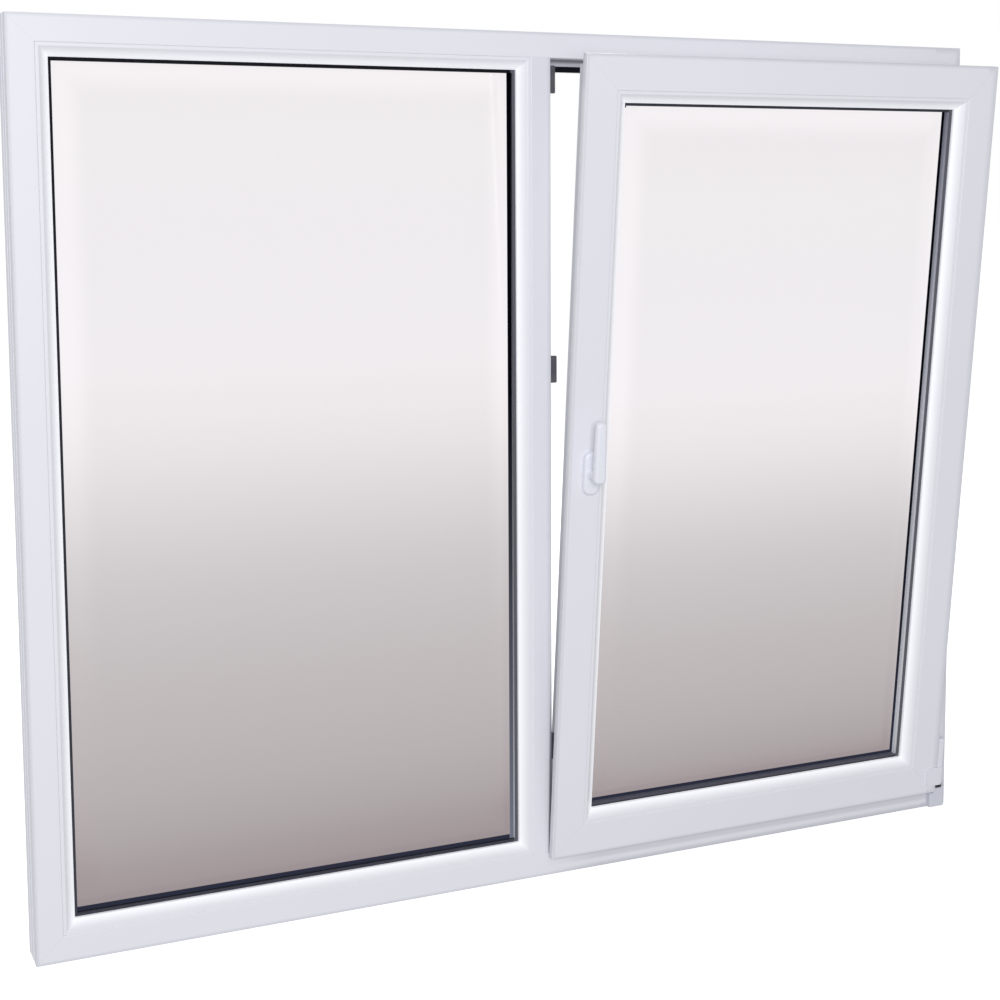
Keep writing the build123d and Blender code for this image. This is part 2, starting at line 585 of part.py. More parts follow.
def sash():
    """The tilted sash with its glazing, seal, gear and handle."""
    sides = ring(sash_profile(), SASH_WIDTH, SASH_HEIGHT)
    names = {"bottom": "sash_bottom_rail", "top": "sash_top_rail", "left": "sash_lock_stile", "right": "sash_hinge_stile"}
    pieces = {names[side]: bar for side, bar in sides.items()}
    rebate_width = SASH_WIDTH - 2 * SASH_REBATE
    rebate_height = SASH_HEIGHT - 2 * SASH_REBATE
    inset = Pos(SASH_REBATE, 0, SASH_REBATE)
    pieces.update({
        name: inset * piece for name, piece in glazing("sash", rebate_width, rebate_height, SASH_DEPTH).items()})
    pieces["sash_flap_seal"] = flap_seal()
    pieces.update(gear())
    pieces["handle_rosette"] = rosette()
    pieces["handle_lever"] = lever()
    place = Pos(SASH_LEFT, SASH_INSIDE, SASH_BOTTOM)
    return {name: tilted(place * piece) for name, piece in pieces.items()}


def window():
    """Every piece of the window by name."""
    pieces = outer_frame()
    fixed_place = Pos(FRAME_FACE - WINDOW_WIDTH / 2, INSIDE, FRAME_FACE)
    fixed = glazing("fixed", OPENING_WIDTH, OPENING_HEIGHT, FRAME_DEPTH)
    pieces.update({name: fixed_place * piece for name, piece in fixed.items()})
    pieces["frame_rebate_seal"] = rebate_seal()
    pieces["drain_caps"] = drain_caps()
    pieces["keeps"] = keeps()
    pieces.update(sash())
    pieces.update(corner_hinge())
    pieces.update(stay())
    return pieces


def write(pieces):
    """One file for each piece."""
    os.makedirs("parts", exist_ok=True)
    for name, piece in pieces.items():
        export_step(piece, f"parts/{name}.step")


write(window())
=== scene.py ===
"""Studio scene of a white two-light window: a fixed light beside a sash that stands tilted into the room.

Metres. The room is on the -Y side, the weather side on +Y and +Z is up. The origin is the middle of the
sill's underside. Pieces on the sash are built in its closed place and then swung in with it.
"""
from __future__ import annotations

import logging
import math
from dataclasses import dataclass, field, replace
from enum import Enum
from typing import Any, Iterable, Sequence, Union

import bmesh
import bpy
from mathutils import Matrix, Vector

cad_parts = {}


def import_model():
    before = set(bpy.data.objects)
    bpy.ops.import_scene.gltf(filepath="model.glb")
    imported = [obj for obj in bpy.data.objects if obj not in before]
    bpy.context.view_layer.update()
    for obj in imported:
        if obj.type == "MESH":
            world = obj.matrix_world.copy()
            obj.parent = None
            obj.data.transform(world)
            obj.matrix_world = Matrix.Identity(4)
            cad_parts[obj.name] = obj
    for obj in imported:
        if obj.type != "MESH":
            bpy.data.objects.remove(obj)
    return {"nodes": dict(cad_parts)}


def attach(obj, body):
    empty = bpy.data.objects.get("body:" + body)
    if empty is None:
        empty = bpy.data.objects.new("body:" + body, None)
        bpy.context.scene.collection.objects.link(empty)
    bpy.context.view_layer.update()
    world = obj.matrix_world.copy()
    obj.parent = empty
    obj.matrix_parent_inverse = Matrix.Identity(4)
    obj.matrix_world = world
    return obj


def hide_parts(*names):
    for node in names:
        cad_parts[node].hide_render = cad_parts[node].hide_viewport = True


LOG = logging.getLogger("window")
Triple = tuple[float, float, float]
Pair = tuple[float, float]
Value = Union["Signal", float, Sequence[float]]
Parts = tuple["Signal", "Signal", "Signal"]
Material = bpy.types.Material
Nodes = dict[str, bpy.types.Object]
Verts = list[bmesh.types.BMVert]

TILT = math.radians(6.0)
TILT_AXIS = Vector((0.0, -0.040, 0.0335))
SASH_SWING = Matrix.Translation(TILT_AXIS) @ Matrix.Rotation(TILT, 4, "X") @ Matrix.Translation(-TILT_AXIS)

# Cosine above which an edge counts as lying along an axis.
ALONG = 0.99
# Metres within which two places count as one.
NEAR = 1e-6
# Width of the glazing seal's run beside the sight line.
SEAL_RUN = 0.008
# Refractive index of the plastic's skin.
PLASTIC_INDEX = 1.54


class Leaf(Enum):
    """What a piece belongs to: the standing frame or the tilted sash."""

    FRAME = "frame"
    SASH = "sash"

    @property
    def swing(self) -> Matrix:
        """Matrix from the closed place to where the piece stands."""
        return SASH_SWING if self is Leaf.SASH else Matrix.Identity(4)


class Run(Enum):
    """Which way an extruded bar lies."""

    LEVEL = "level"
    UPRIGHT = "upright"


class Signal:
    """A shader socket that takes part in arithmetic."""

    def __init__(self, graph: "Graph", socket: bpy.types.NodeSocket) -> None:
        """Wraps a node's output socket."""
        self.graph = graph
        self.socket = socket

    def _math(self, operation: str, *values: Value) -> "Signal":
        """Adds one Math node."""
        return self.graph.node("ShaderNodeMath", {"operation": operation}, dict(enumerate(values)))

    def __add__(self, other: Value) -> "Signal":
        """Sum."""
        return self._math("ADD", self, other)

    def __sub__(self, other: Value) -> "Signal":
        """Difference."""
        return self._math("SUBTRACT", self, other)

    def __rsub__(self, other: Value) -> "Signal":
        """Difference with the signal on the right."""
        return self._math("SUBTRACT", other, self)

    def __mul__(self, other: Value) -> "Signal":
        """Product."""
        return self._math("MULTIPLY", self, other)

    def __truediv__(self, other: Value) -> "Signal":
        """Quotient."""
        return self._math("DIVIDE", self, other)

    def __pow__(self, other: Value) -> "Signal":
        """Power."""
        return self._math("POWER", self, other)

    def __neg__(self) -> "Signal":
        """Value with its sign turned."""
        return 0.0 - self

    def __abs__(self) -> "Signal":
        """Size without sign."""
        return self._math("ABSOLUTE", self)

    def least(self, other: Value) -> "Signal":
        """The smaller of two values."""
        return self._math("MINIMUM", self, other)

    def most(self, other: Value) -> "Signal":
        """The larger of two values."""
        return self._math("MAXIMUM", self, other)

    def clamped(self) -> "Signal":
        """The value held between 0 and 1."""
        return self.most(0.0).least(1.0)

    def below(self, edge: float, soft: float) -> "Signal":
        """Mask that is 1 under an edge and fades to 0 over a soft width.

        Args:
            edge: Value at which the mask has faded to a half.
            soft: Width of the fade.

        Returns:
            The mask, from 0 to 1.
        """
        inputs = {
            "Value": self, "From Min": edge - soft / 2, "From Max": edge + soft / 2, "To Min": 1.0, "To Max": 0.0}
        return self.graph.node("ShaderNodeMapRange", {"interpolation_type": "SMOOTHSTEP"}, inputs)

    def beyond(self, edge: float, soft: float) -> "Signal":
        """Mask that is 0 under an edge and rises to 1 over a soft width."""
        return 1.0 - self.below(edge, soft)

    def folded(self, period: float) -> "Signal":
        """Distance to the nearest whole multiple of a period."""
        return self._math("PINGPONG", self, period / 2)

    __radd__ = __add__
    __rmul__ = __mul__


class Graph:
    """The node tree of a material or of the surroundings."""

    def __init__(self, name: str, owners: bpy.types.bpy_prop_collection | None = None) -> None:
        """Makes an empty tree and the data-block that owns it.

        Args:
            name: Name of the owner.
            owners: Blender's list of such owners, which is the materials if none is given.
        """
        self.owner = (bpy.data.materials if owners is None else owners).new(name)
        self.owner.use_nodes = True
        self.tree = self.owner.node_tree
        self.tree.nodes.clear()

    def add(self, kind: str, settings: dict[str, Any] | None = None,
            inputs: dict[str | int, Value] | None = None) -> bpy.types.Node:
        """Adds any node, sets it up first and then feeds its sockets.

        Args:
            kind: Blender's name of the node type.
            settings: The node's own settings; "stops" holds a ramp's places and colours.
            inputs: Values or signals by socket name or number.

        Returns:
            The node.
        """
        made = self.tree.nodes.new(kind)
        for key, value in (settings or {}).items():
            if key == "stops":
                self._stops(made, value)
            else:
                setattr(made, key, value)
        for key, value in (inputs or {}).items():
            socket = made.inputs[key]
            if isinstance(value, Signal):
                self.tree.links.new(value.socket, socket)
            else:
                socket.default_value = (*value, 1.0) if socket.type == "RGBA" else value
        return made

    def node(self, kind: str, settings: dict[str, Any] | None = None,
             inputs: dict[str | int, Value] | None = None, output: str | int = 0) -> Signal:
        """Adds any node and takes one of its outputs.

        Args:
            kind: Blender's name of the node type.
            settings: The node's own settings.
            inputs: Values or signals by socket name or number.
            output: The output socket that is wanted.

        Returns:
            The chosen output as a signal.
        """
        return Signal(self, self.add(kind, settings, inputs).outputs[output])

    @staticmethod
    def _stops(ramp: bpy.types.Node, stops: Sequence[tuple[float, Triple]]) -> None:
        """Sets a ramp's stops.

        Args:
            ramp: The ramp node.
            stops: Place and colour of each stop.
        """
        elements = ramp.color_ramp.elements
        while len(elements) > 1:
            elements.remove(elements[-1])
        for index, (place, colour) in enumerate(stops):
            element = elements[0] if index == 0 else elements.new(place)
            element.position = place
            element.color = (*colour, 1.0)

    def place(self, leaf: Leaf = Leaf.FRAME) -> Signal:
        """Object coordinates, turned back to the closed place on the sash.

        Args:
            leaf: Frame or sash.

        Returns:
            The coordinates.
        """
        spot = self.node("ShaderNodeTexCoord", output="Object")
        if leaf is Leaf.FRAME:
            return spot
        back = leaf.swing.inverted()
        inputs = {"Vector": spot, "Location": back.to_translation(), "Rotation": back.to_euler()}
        return self.node("ShaderNodeMapping", {"vector_type": "POINT"}, inputs)

    def parts(self, vector: Signal) -> Parts:
        """The three parts of a vector."""
        x, y, z = self.add("ShaderNodeSeparateXYZ", None, {0: vector}).outputs
        return Signal(self, x), Signal(self, y), Signal(self, z)

    def facing(self) -> Parts:
        """The three parts of the surface's normal."""
        return self.parts(self.node("ShaderNodeNewGeometry", output="Normal"))

    def noise(self, vector: Signal, scale: float, detail: float = 2.0,
              stretch: Triple = (1.0, 1.0, 1.0)) -> Signal:
        """Noise from 0 to 1, stretched along some axes.

        Args:
            vector: Coordinates that it follows.
            scale: Grains per metre, roughly.
            detail: How many finer layers it has.
            stretch: Factor on each coordinate.

        Returns:
            The noise value.
        """
        if stretch != (1.0, 1.0, 1.0):
            vector = self.node("ShaderNodeVectorMath", {"operation": "MULTIPLY"}, {0: vector, 1: stretch})
        return self.node("ShaderNodeTexNoise", None, {"Vector": vector, "Scale": scale, "Detail": detail}, "Fac")

    def blend(self, share: Value, first: Value, second: Value) -> Signal:
        """Colour between two colours: the first at a share of 0 and the second at 1."""
        return self.node("ShaderNodeMix", {"data_type": "RGBA"}, {0: share, 6: first, 7: second}, 2)

    def bump(self, height: Signal, depth: float, strength: float = 1.0, under: Signal | None = None) -> Signal:
        """Surface normal of a relief.

        Args:
            height: Relief from 0 to 1.
            depth: Height of the relief in metres.
            strength: Share of its effect.
            under: A relief that lies beneath.

        Returns:
            The bent normal.
        """
        inputs: dict[str | int, Value] = {"Height": height, "Distance": depth, "Strength": strength}
        if under is not None:
            inputs["Normal"] = under
        return self.node("ShaderNodeBump", None, inputs)

    def glow(self, colour: Triple, share: Signal) -> dict[str, Value]:
        """Emission sockets that paint light onto a surface: a colour times a share."""
        lit = self.node("ShaderNodeVectorMath", {"operation": "SCALE"}, {0: colour, "Scale": share})
        return {"Emission_Color": lit, "Emission_Strength": 1.0}

    def surface(self, **inputs: Value) -> Material:
        """Ends the tree in one Principled surface.

        Args:
            **inputs: Its sockets, with underscores for spaces.

        Returns:
            The finished material.
        """
        fed = {key.replace("_", " "): value for key, value in inputs.items()}
        self.add("ShaderNodeOutputMaterial", None, {"Surface": self.node("ShaderNodeBsdfPrincipled", None, fed)})
        return self.owner


@dataclass(frozen=True)
class Corners:
    """A mitred rectangle of bars, in the closed place.

    Attributes:
        middle: X and Z of its middle.
        half: Half its width and half its height.
    """

    middle: Pair
    half: Pair

    @property
    def right(self) -> float:
        """X of its right side."""
        return self.middle[0] + self.half[0]

    @property
    def top(self) -> float:
        """Z of its top."""
        return self.middle[1] + self.half[1]

    def seam(self, x: Signal, z: Signal) -> Signal:
        """Distance from the nearest mitre.

        Args:
            x: Coordinate across the window.
            z: Coordinate up.

        Returns:
            The distance in metres.
        """
        across, up = self._inward(x, z)
        return abs(across - up) * math.sqrt(0.5)

    def depth(self, x: Signal, z: Signal) -> Signal:
        """Distance inwards from the rectangle's nearest side.

        Args:
            x: Coordinate across the window.
            z: Coordinate up.

        Returns:
            The distance in metres.
        """
        across, up = self._inward(x, z)
        return across.least(up)

    def _inward(self, x: Signal, z: Signal) -> tuple[Signal, Signal]:
        """Distances inwards from the upright and from the level sides."""
        return self.half[0] - abs(x - self.middle[0]), self.half[1] - abs(z - self.middle[1])


# Mitred rectangles by leaf: outer edges of the bars, outer edges of the beads, and sight lines.
BARS = {Leaf.FRAME: Corners((0.0, 0.725), (0.850, 0.725)), Leaf.SASH: Corners((0.413, 0.725), (0.403, 0.691))}
BEADS = {Leaf.FRAME: Corners((-0.413, 0.725), (0.395, 0.683)), Leaf.SASH: Corners((0.413, 0.725), (0.345, 0.633))}
SIGHTS = {Leaf.FRAME: Corners((-0.413, 0.725), (0.375, 0.663)), Leaf.SASH: Corners((0.413, 0.725), (0.325, 0.613))}


@dataclass(frozen=True)
class ExtrudedPlastic:
    """White extruded profile with faint drawing lines and a cleaned weld at each mitre.

    Attributes:
        colour: Main colour.
        shade: Colour of the slightly duller patches.
        seam: Colour in the groove of a mitre.
        seam_width: Width of that groove in metres.
        seam_share: Strength of that colour.
        drawn: How much the drawing lines are drawn out along a bar.
        roughness: Gloss of the skin.
    """

    colour: Triple = (0.812, 0.818, 0.882)
    shade: Triple = (0.792, 0.800, 0.866)
    seam: Triple = (0.66, 0.67, 0.73)
    seam_width: float = 0.0009
    seam_share: float = 0.35
    drawn: float = 0.004
    roughness: float = 0.30

    def material(self, name: str, leaf: Leaf, run: Run, corners: Corners | None = None) -> Material:
        """The finish of one bar.

        Args:
            name: Material name.
            leaf: Frame or sash.
            run: Which way the bar lies.
            corners: Its mitred rectangle, if it has one.

        Returns:
            The material.
        """
        graph = Graph(name)
        spot = graph.place(leaf)
        place = graph.parts(spot)
        along = (self.drawn, 1.0, 1.0) if run is Run.LEVEL else (1.0, 1.0, self.drawn)
        lines = graph.noise(spot, scale=900.0, detail=1.0, stretch=along)
        patches = graph.noise(spot, scale=3.0, detail=3.0)
        grain = graph.noise(spot, scale=1600.0, detail=1.0)
        colour = graph.blend((patches - 0.35) * 1.6, self.colour, self.shade)
        normal = graph.bump(grain, depth=0.00001, strength=0.5)
        normal = graph.bump(lines, depth=0.00002, strength=0.35, under=normal)
        rough = self.roughness + lines * 0.05 + patches * 0.05
        if corners is not None:
            groove = corners.seam(place[0], place[2]).below(self.seam_width / 2, self.seam_width / 2)
            colour = graph.blend(groove * self.seam_share, colour, self.seam)
            normal = graph.bump(1.0 - groove, depth=0.00006, under=normal)
        colour, glow = self.shaded(graph, place, colour, corners)
        return graph.surface(Base_Color=colour, Roughness=rough, Normal=normal, IOR=PLASTIC_INDEX, **glow)

    def shaded(self, graph: Graph, place: Parts, colour: Signal,
               corners: Corners | None) -> tuple[Signal, dict[str, Value]]:
        """Colour with the painted shade of the bar's place in the window, and its painted light; the plain plastic
        has neither.

        Args:
            graph: The material's node tree.
            place: Coordinates in the closed place.
            colour: Colour of the plain plastic.
            corners: The bar's mitred rectangle, if it has one.

        Returns:
            The colour with its painted shade, and the emission sockets of the painted light.
        """
        return colour, {}


@dataclass(frozen=True)
class PostPlastic(ExtrudedPlastic):
    """Plastic of the mullion, which has no mitre, with painted shade at its right edge, its top and the sash's
    foot.

    Attributes:
        rim: Colour of the painted shade along its right edge and towards the head.
        edge: X beyond which the right edge is shaded, and the fade.
        climb: Height at which the shade towards the head starts, and the height that it takes to grow.
        upper: Share of that shade at the head.
        contact: Colour of the painted contact shadow beside the foot of the sash.
        beside: X beyond which that colour begins at the sill, and the fade.
        lean: How far that edge moves to the right for each metre of height.
        low: Height at which that colour ends, and the fade.
    """

    rim: Triple = (0.665, 0.675, 0.740)
    edge: Pair = (0.0115, 0.011)
    climb: Pair = (0.60, 0.80)
    upper: float = 0.40
    contact: Triple = (0.17, 0.18, 0.21)
    beside: Pair = (0.0105, 0.003)
    lean: float = 0.012
    low: Pair = (0.30, 0.26)

    def shaded(self, graph: Graph, place: Parts, colour: Signal,
               corners: Corners | None) -> tuple[Signal, dict[str, Value]]:
        """Colour with the painted shade on the mullion.

        Args:
            graph: The material's node tree.
            place: Coordinates in the closed place.
            colour: Colour of the plain plastic.
            corners: Not used, because the mullion has no mitre.

        Returns:
            The colour with its painted shade, and no painted light.
        """
        x, _, z = place
        # Painted shade: darker along the right edge, where the sash stands in front, and towards the head.
        start, height = self.climb
        upper = ((z - start) / height).clamped() * self.upper
        colour = graph.blend(x.beyond(*self.edge).most(upper), colour, self.rim)
        # Painted contact shadow in the narrow gap beside the sash's foot, fading out with height.
        contact = (x - z * self.lean).beyond(*self.beside) * z.below(*self.low)
        return graph.blend(contact, colour, self.contact), {}


@dataclass(frozen=True)
class BarPlastic(ExtrudedPlastic):
    """Plastic of a frame or sash bar, with painted shade on edges, rebate, flank and sill, painted light on its
    sides.

    Attributes:
        rim: Colour of the painted shade along the outer edge of a bar's face.
        rim_width: How far that shade reaches inwards.
        rim_facing: Y of the normal under which a surface is a face, and the fade.
        far: X beyond which the rim reaches further in, and the fade.
        far_share: How much less the distance counts there.
        corner: Colour of the painted shade in the inner corner of the rebate, on the flank and below the sash.
        recess_from: Distance from the outer edge at which that shade starts, and the fade.
        recess_to: Distance at which it ends, and the fade.
        recess_back: Y between which it lies.
        recess_fade: Fade of that range.
        face: Depth of the room-side face.
        flank: Share of the painted shade on the flange's narrow side.
        flank_edge: Distance from the outer edge at which that side ends, and the fade.
        flank_growth: Depth over which its shade grows behind the face.
        foot: Share of the painted shadow below the sash.
        foot_top: Height at which that shade ends, and the fade.
        foot_start: X beyond which it lies, and the fade.
        pale: Height of the paler line in it.
        pale_edge: Half the height of that line, and the fade.
        pale_share: How much of the shade that line takes away.
        side: Painted light given off as emission on the outer sides behind the flange.
        side_reach: Distance from the outer edge that this light reaches, and the fade.
        side_start: Distance behind the face at which it starts, and the fade.
    """

    rim: Triple = (0.665, 0.675, 0.740)
    rim_width: float = 0.007
    rim_facing: Pair = (-0.8, 0.3)
    far: Pair = (0.795, 0.004)
    far_share: float = 0.55
    corner: Triple = (0.30, 0.31, 0.34)
    recess_from: Pair = (-0.010, 0.002)
    recess_to: Pair = (0.046, 0.008)
    recess_back: Pair = (0.0, 0.030)
    recess_fade: float = 0.002
    face: float = -0.053
    flank: float = 0.45
    flank_edge: Pair = (0.0008, 0.0008)
    flank_growth: float = 0.016
    foot: float = 0.0
    foot_top: Pair = (0.046, 0.016)
    foot_start: Pair = (0.06, 0.12)
    pale: float = 0.0115
    pale_edge: Pair = (0.004, 0.006)
    pale_share: float = 0.8
    side: float = 0.22
    side_reach: Pair = (0.0215, 0.001)
    side_start: Pair = (0.0165, 0.001)

    def shaded(self, graph: Graph, place: Parts, colour: Signal,
               corners: Corners | None) -> tuple[Signal, dict[str, Value]]:
        """Colour with the painted shade on the rim, in the rebate, on the flank and below the sash.

        Args:
            graph: The material's node tree.
            place: Coordinates in the closed place.
            colour: Colour of the plain plastic.
            corners: The bar's mitred rectangle.

        Returns:
            The colour with its painted shade, and the emission sockets of the painted light on the outer sides.
        """
        x, y, z = place
        depth = corners.depth(x, z)
        # Painted shade along the outer edge of each face, reaching further in on the hinge side.
        reach = depth * (1.0 - x.beyond(*self.far) * self.far_share)
        rim = reach.below(self.rim_width / 2, self.rim_width) * graph.facing()[1].below(*self.rim_facing)
        colour = graph.blend(rim, colour, self.rim)
        # Painted shade in the inner corner of the rebate.
        recess = depth.below(*self.recess_to) * depth.beyond(*self.recess_from)
        front, back = self.recess_back
        recess = recess * y.beyond(front, self.recess_fade) * y.below(back, self.recess_fade)
        colour = graph.blend(recess, colour, self.corner)
        behind = y - self.face
        # Painted shade on the flange's narrow side, darker towards the back.
        flank = depth.below(*self.flank_edge) * (behind / self.flank_growth).clamped()
        colour = graph.blend(flank * self.flank, colour, self.corner)
        # Painted shadow on the sill below the sash, with a paler line in it.
        pale = abs(z - self.pale).below(*self.pale_edge) * self.pale_share
        foot = z.below(*self.foot_top) * x.beyond(*self.foot_start) * self.foot * (1.0 - pale)
        colour = graph.blend(foot, colour, self.corner)
        # Painted light given off as emission on the outer sides behind the flange.
        outside = depth.below(*self.side_reach) * behind.beyond(*self.side_start) * self.side
        return colour, graph.glow(self.colour, outside)


@dataclass(frozen=True)
class BeadPlastic(ExtrudedPlastic):
    """Plastic of a glazing bead with a painted highlight on its slope towards the glass and painted light on it.

    Attributes:
        crest: Colour of the painted highlight towards the glass, also the colour of its painted light.
        slope: Distance from the outer edge at which the slope begins, and the fade.
        lift: Painted light given off by slopes that face down and by slopes that face right.
        crown: Painted highlight on the inner edge of slopes that face up and of slopes that face left.
        crown_run: Distance at which that light starts, and the width over which it grows.
        crown_turn: Power of its growth.
        upward: Z of the normal beyond which a slope faces up, and the fade.
        leftward: X of the normal below which a slope faces left, and the fade.
        joint: Width of the fine joint at the bead's edge, and the fade.
        step: Painted light in that joint.
    """

    colour: Triple = (0.815, 0.822, 0.880)
    shade: Triple = (0.800, 0.808, 0.868)
    seam: Triple = (0.70, 0.71, 0.77)
    seam_width: float = 0.0005
    roughness: float = 0.26
    crest: Triple = (0.87, 0.88, 0.925)
    slope: Pair = (0.011, 0.014)
    lift: Pair = (0.27, 0.42)
    crown: Pair = (0.26, 0.20)
    crown_run: Pair = (0.004, 0.016)
    crown_turn: float = 1.5
    upward: Pair = (0.10, 0.05)
    leftward: Pair = (-0.10, 0.05)
    joint: Pair = (0.0012, 0.0012)
    step: float = 0.20

    def shaded(self, graph: Graph, place: Parts, colour: Signal,
               corners: Corners | None) -> tuple[Signal, dict[str, Value]]:
        """Painted highlight towards the glass, and the painted light on slopes, crowns and joints.

        Args:
            graph: The material's node tree.
            place: Coordinates in the closed place.
            colour: Colour of the plain plastic.
            corners: The bead's mitred rectangle.

        Returns:
            The colour with its painted highlight, and the emission sockets of the painted light.
        """
        x, _, z = place
        depth = corners.depth(x, z)
        across, _, up = graph.facing()
        # Painted highlight: the slope towards the glass turns to the pale crest colour.
        slope = depth.beyond(*self.slope)
        # Painted light given off by slopes facing down and right, by inner edges facing up and left, and in the
        # joint.
        down, right = self.lift
        back = (-up).most(0.0) * down + across.most(0.0) * right
        upward = up.beyond(*self.upward)
        leftward = across.below(*self.leftward)
        start, width = self.crown_run
        crown = ((depth - start) / width).clamped() ** self.crown_turn
        crown = crown * (upward * self.crown[0]).most(leftward * self.crown[1])
        joint = depth.below(*self.joint) * upward.most(leftward) * self.step
        return graph.blend(slope, colour, self.crest), graph.glow(self.crest, slope * back + crown + joint)


@dataclass(frozen=True)
class Rubber:
    """Black glazing and weather seal.

    Attributes:
        colour: Main colour.
        bloom: Colour of the pale bloom that dry rubber has.
        black: Colour that it turns to towards the head.
        darkening: How far it turns to that towards the head.
        height: Height at which the darkening is complete.
        trim: Sight rectangle at which its lip is cut off at the left and the bottom, if it is.
        cut: Distance from that rectangle at which it ends, and the fade.
        right_run_painted_light: Colour of the painted light on the run at the right side.
        right: X at which that run begins.
        fade: Fade at the start of a run.
        roughness: Gloss of the skin.
    """

    colour: Triple = (0.0025, 0.0030, 0.0075)
    bloom: Triple = (0.0080, 0.0090, 0.0170)
    black: Triple = (0.0025, 0.0030, 0.0075)
    darkening: float = 0.0
    height: float = 1.25
    trim: Corners | None = None
    cut: Pair = (0.0003, 0.0003)
    right_run_painted_light: Triple = (0.0080, 0.0090, 0.0170)
    right: float = 10.0
    fade: float = 0.002
    roughness: float = 0.55

    def material(self, name: str, leaf: Leaf) -> Material:
        """The finish of a seal on that leaf.

        Args:
            name: Material name.
            leaf: Frame or sash.

        Returns:
            The material.
        """
        graph = Graph(name)
        spot = graph.place(leaf)
        x, _, z = graph.parts(spot)
        greyish = graph.noise(spot, scale=60.0, detail=4.0)
        grain = graph.noise(spot, scale=2500.0, detail=2.0)
        colour = graph.blend((greyish - 0.45) * 2.0, self.colour, self.bloom)
        colour = graph.blend((z * (self.darkening / self.height)).least(self.darkening), colour, self.black)
        # Painted light: the run at the right side, which faces the lamp side, is lighter.
        beside = x.beyond(self.right, self.fade)
        colour = graph.blend(beside, colour, self.right_run_painted_light)
        seen: Value = 1.0
        if self.trim is not None:
            above = z.beyond(self.trim.top - SEAL_RUN, self.fade)
            seen = self.trim.depth(x, z).below(*self.cut).most(beside).most(above)
        return graph.surface(
            Base_Color=colour, Roughness=self.roughness + greyish * 0.15, Specular_IOR_Level=0.12, Alpha=seen,
            Normal=graph.bump(grain, depth=0.00003, strength=0.5))


@dataclass(frozen=True)
class Metal:
    """Plated or coated metal with fine rolling marks.

    Attributes:
        colour: Main colour.
        tarnish: Colour of the duller patches.
        metallic: How metallic the surface is.
        roughness: Gloss of the skin.
        grain: Depth of the marks in metres.
    """

    colour: Triple = (0.62, 0.63, 0.64)
    tarnish: Triple = (0.50, 0.52, 0.55)
    metallic: float = 1.0
    roughness: float = 0.30
    grain: float = 0.00002

    def material(self, name: str, leaf: Leaf) -> Material:
        """The finish of a fitting on that leaf.

        Args:
            name: Material name.
            leaf: Frame or sash.

        Returns:
            The material.
        """
        graph = Graph(name)
        spot = graph.place(leaf)
        patches = graph.noise(spot, scale=45.0, detail=4.0)
        marks = graph.noise(spot, scale=1400.0, detail=2.0, stretch=(1.0, 1.0, 0.06))
        colour = graph.blend((patches - 0.4) * 2.2, self.colour, self.tarnish)
        normal = graph.bump(marks, depth=self.grain, strength=0.5)
        rough = self.roughness + patches * 0.12 + marks * 0.06
        return graph.surface(Base_Color=colour, Roughness=rough, Metallic=self.metallic, Normal=normal)


@dataclass(frozen=True)
class PowderCoat:
    """White coat on the handle and hinge covers, with a very fine orange peel.

    Attributes:
        colour: Main colour.
        shade: Colour of the duller patches.
        roughness: Gloss of the coat.
    """

    colour: Triple = (0.825, 0.845, 0.925)
    shade: Triple = (0.805, 0.825, 0.905)
    roughness: float = 0.24

    def material(self, name: str, leaf: Leaf) -> Material:
        """The finish of a white fitting on that leaf.

        Args:
            name: Material name.
            leaf: Frame or sash.

        Returns:
            The material.
        """
        graph = Graph(name)
        spot = graph.place(leaf)
        peel = graph.noise(spot, scale=700.0, detail=2.0)
        patches = graph.noise(spot, scale=30.0, detail=3.0)
        colour = graph.blend((patches - 0.4) * 1.5, self.colour, self.shade)
        normal = graph.bump(peel, depth=0.00003, strength=0.4)
        return graph.surface(
            Base_Color=colour, Roughness=self.roughness + patches * 0.08, Normal=normal, Coat_Weight=0.25,
            Coat_Roughness=0.12)


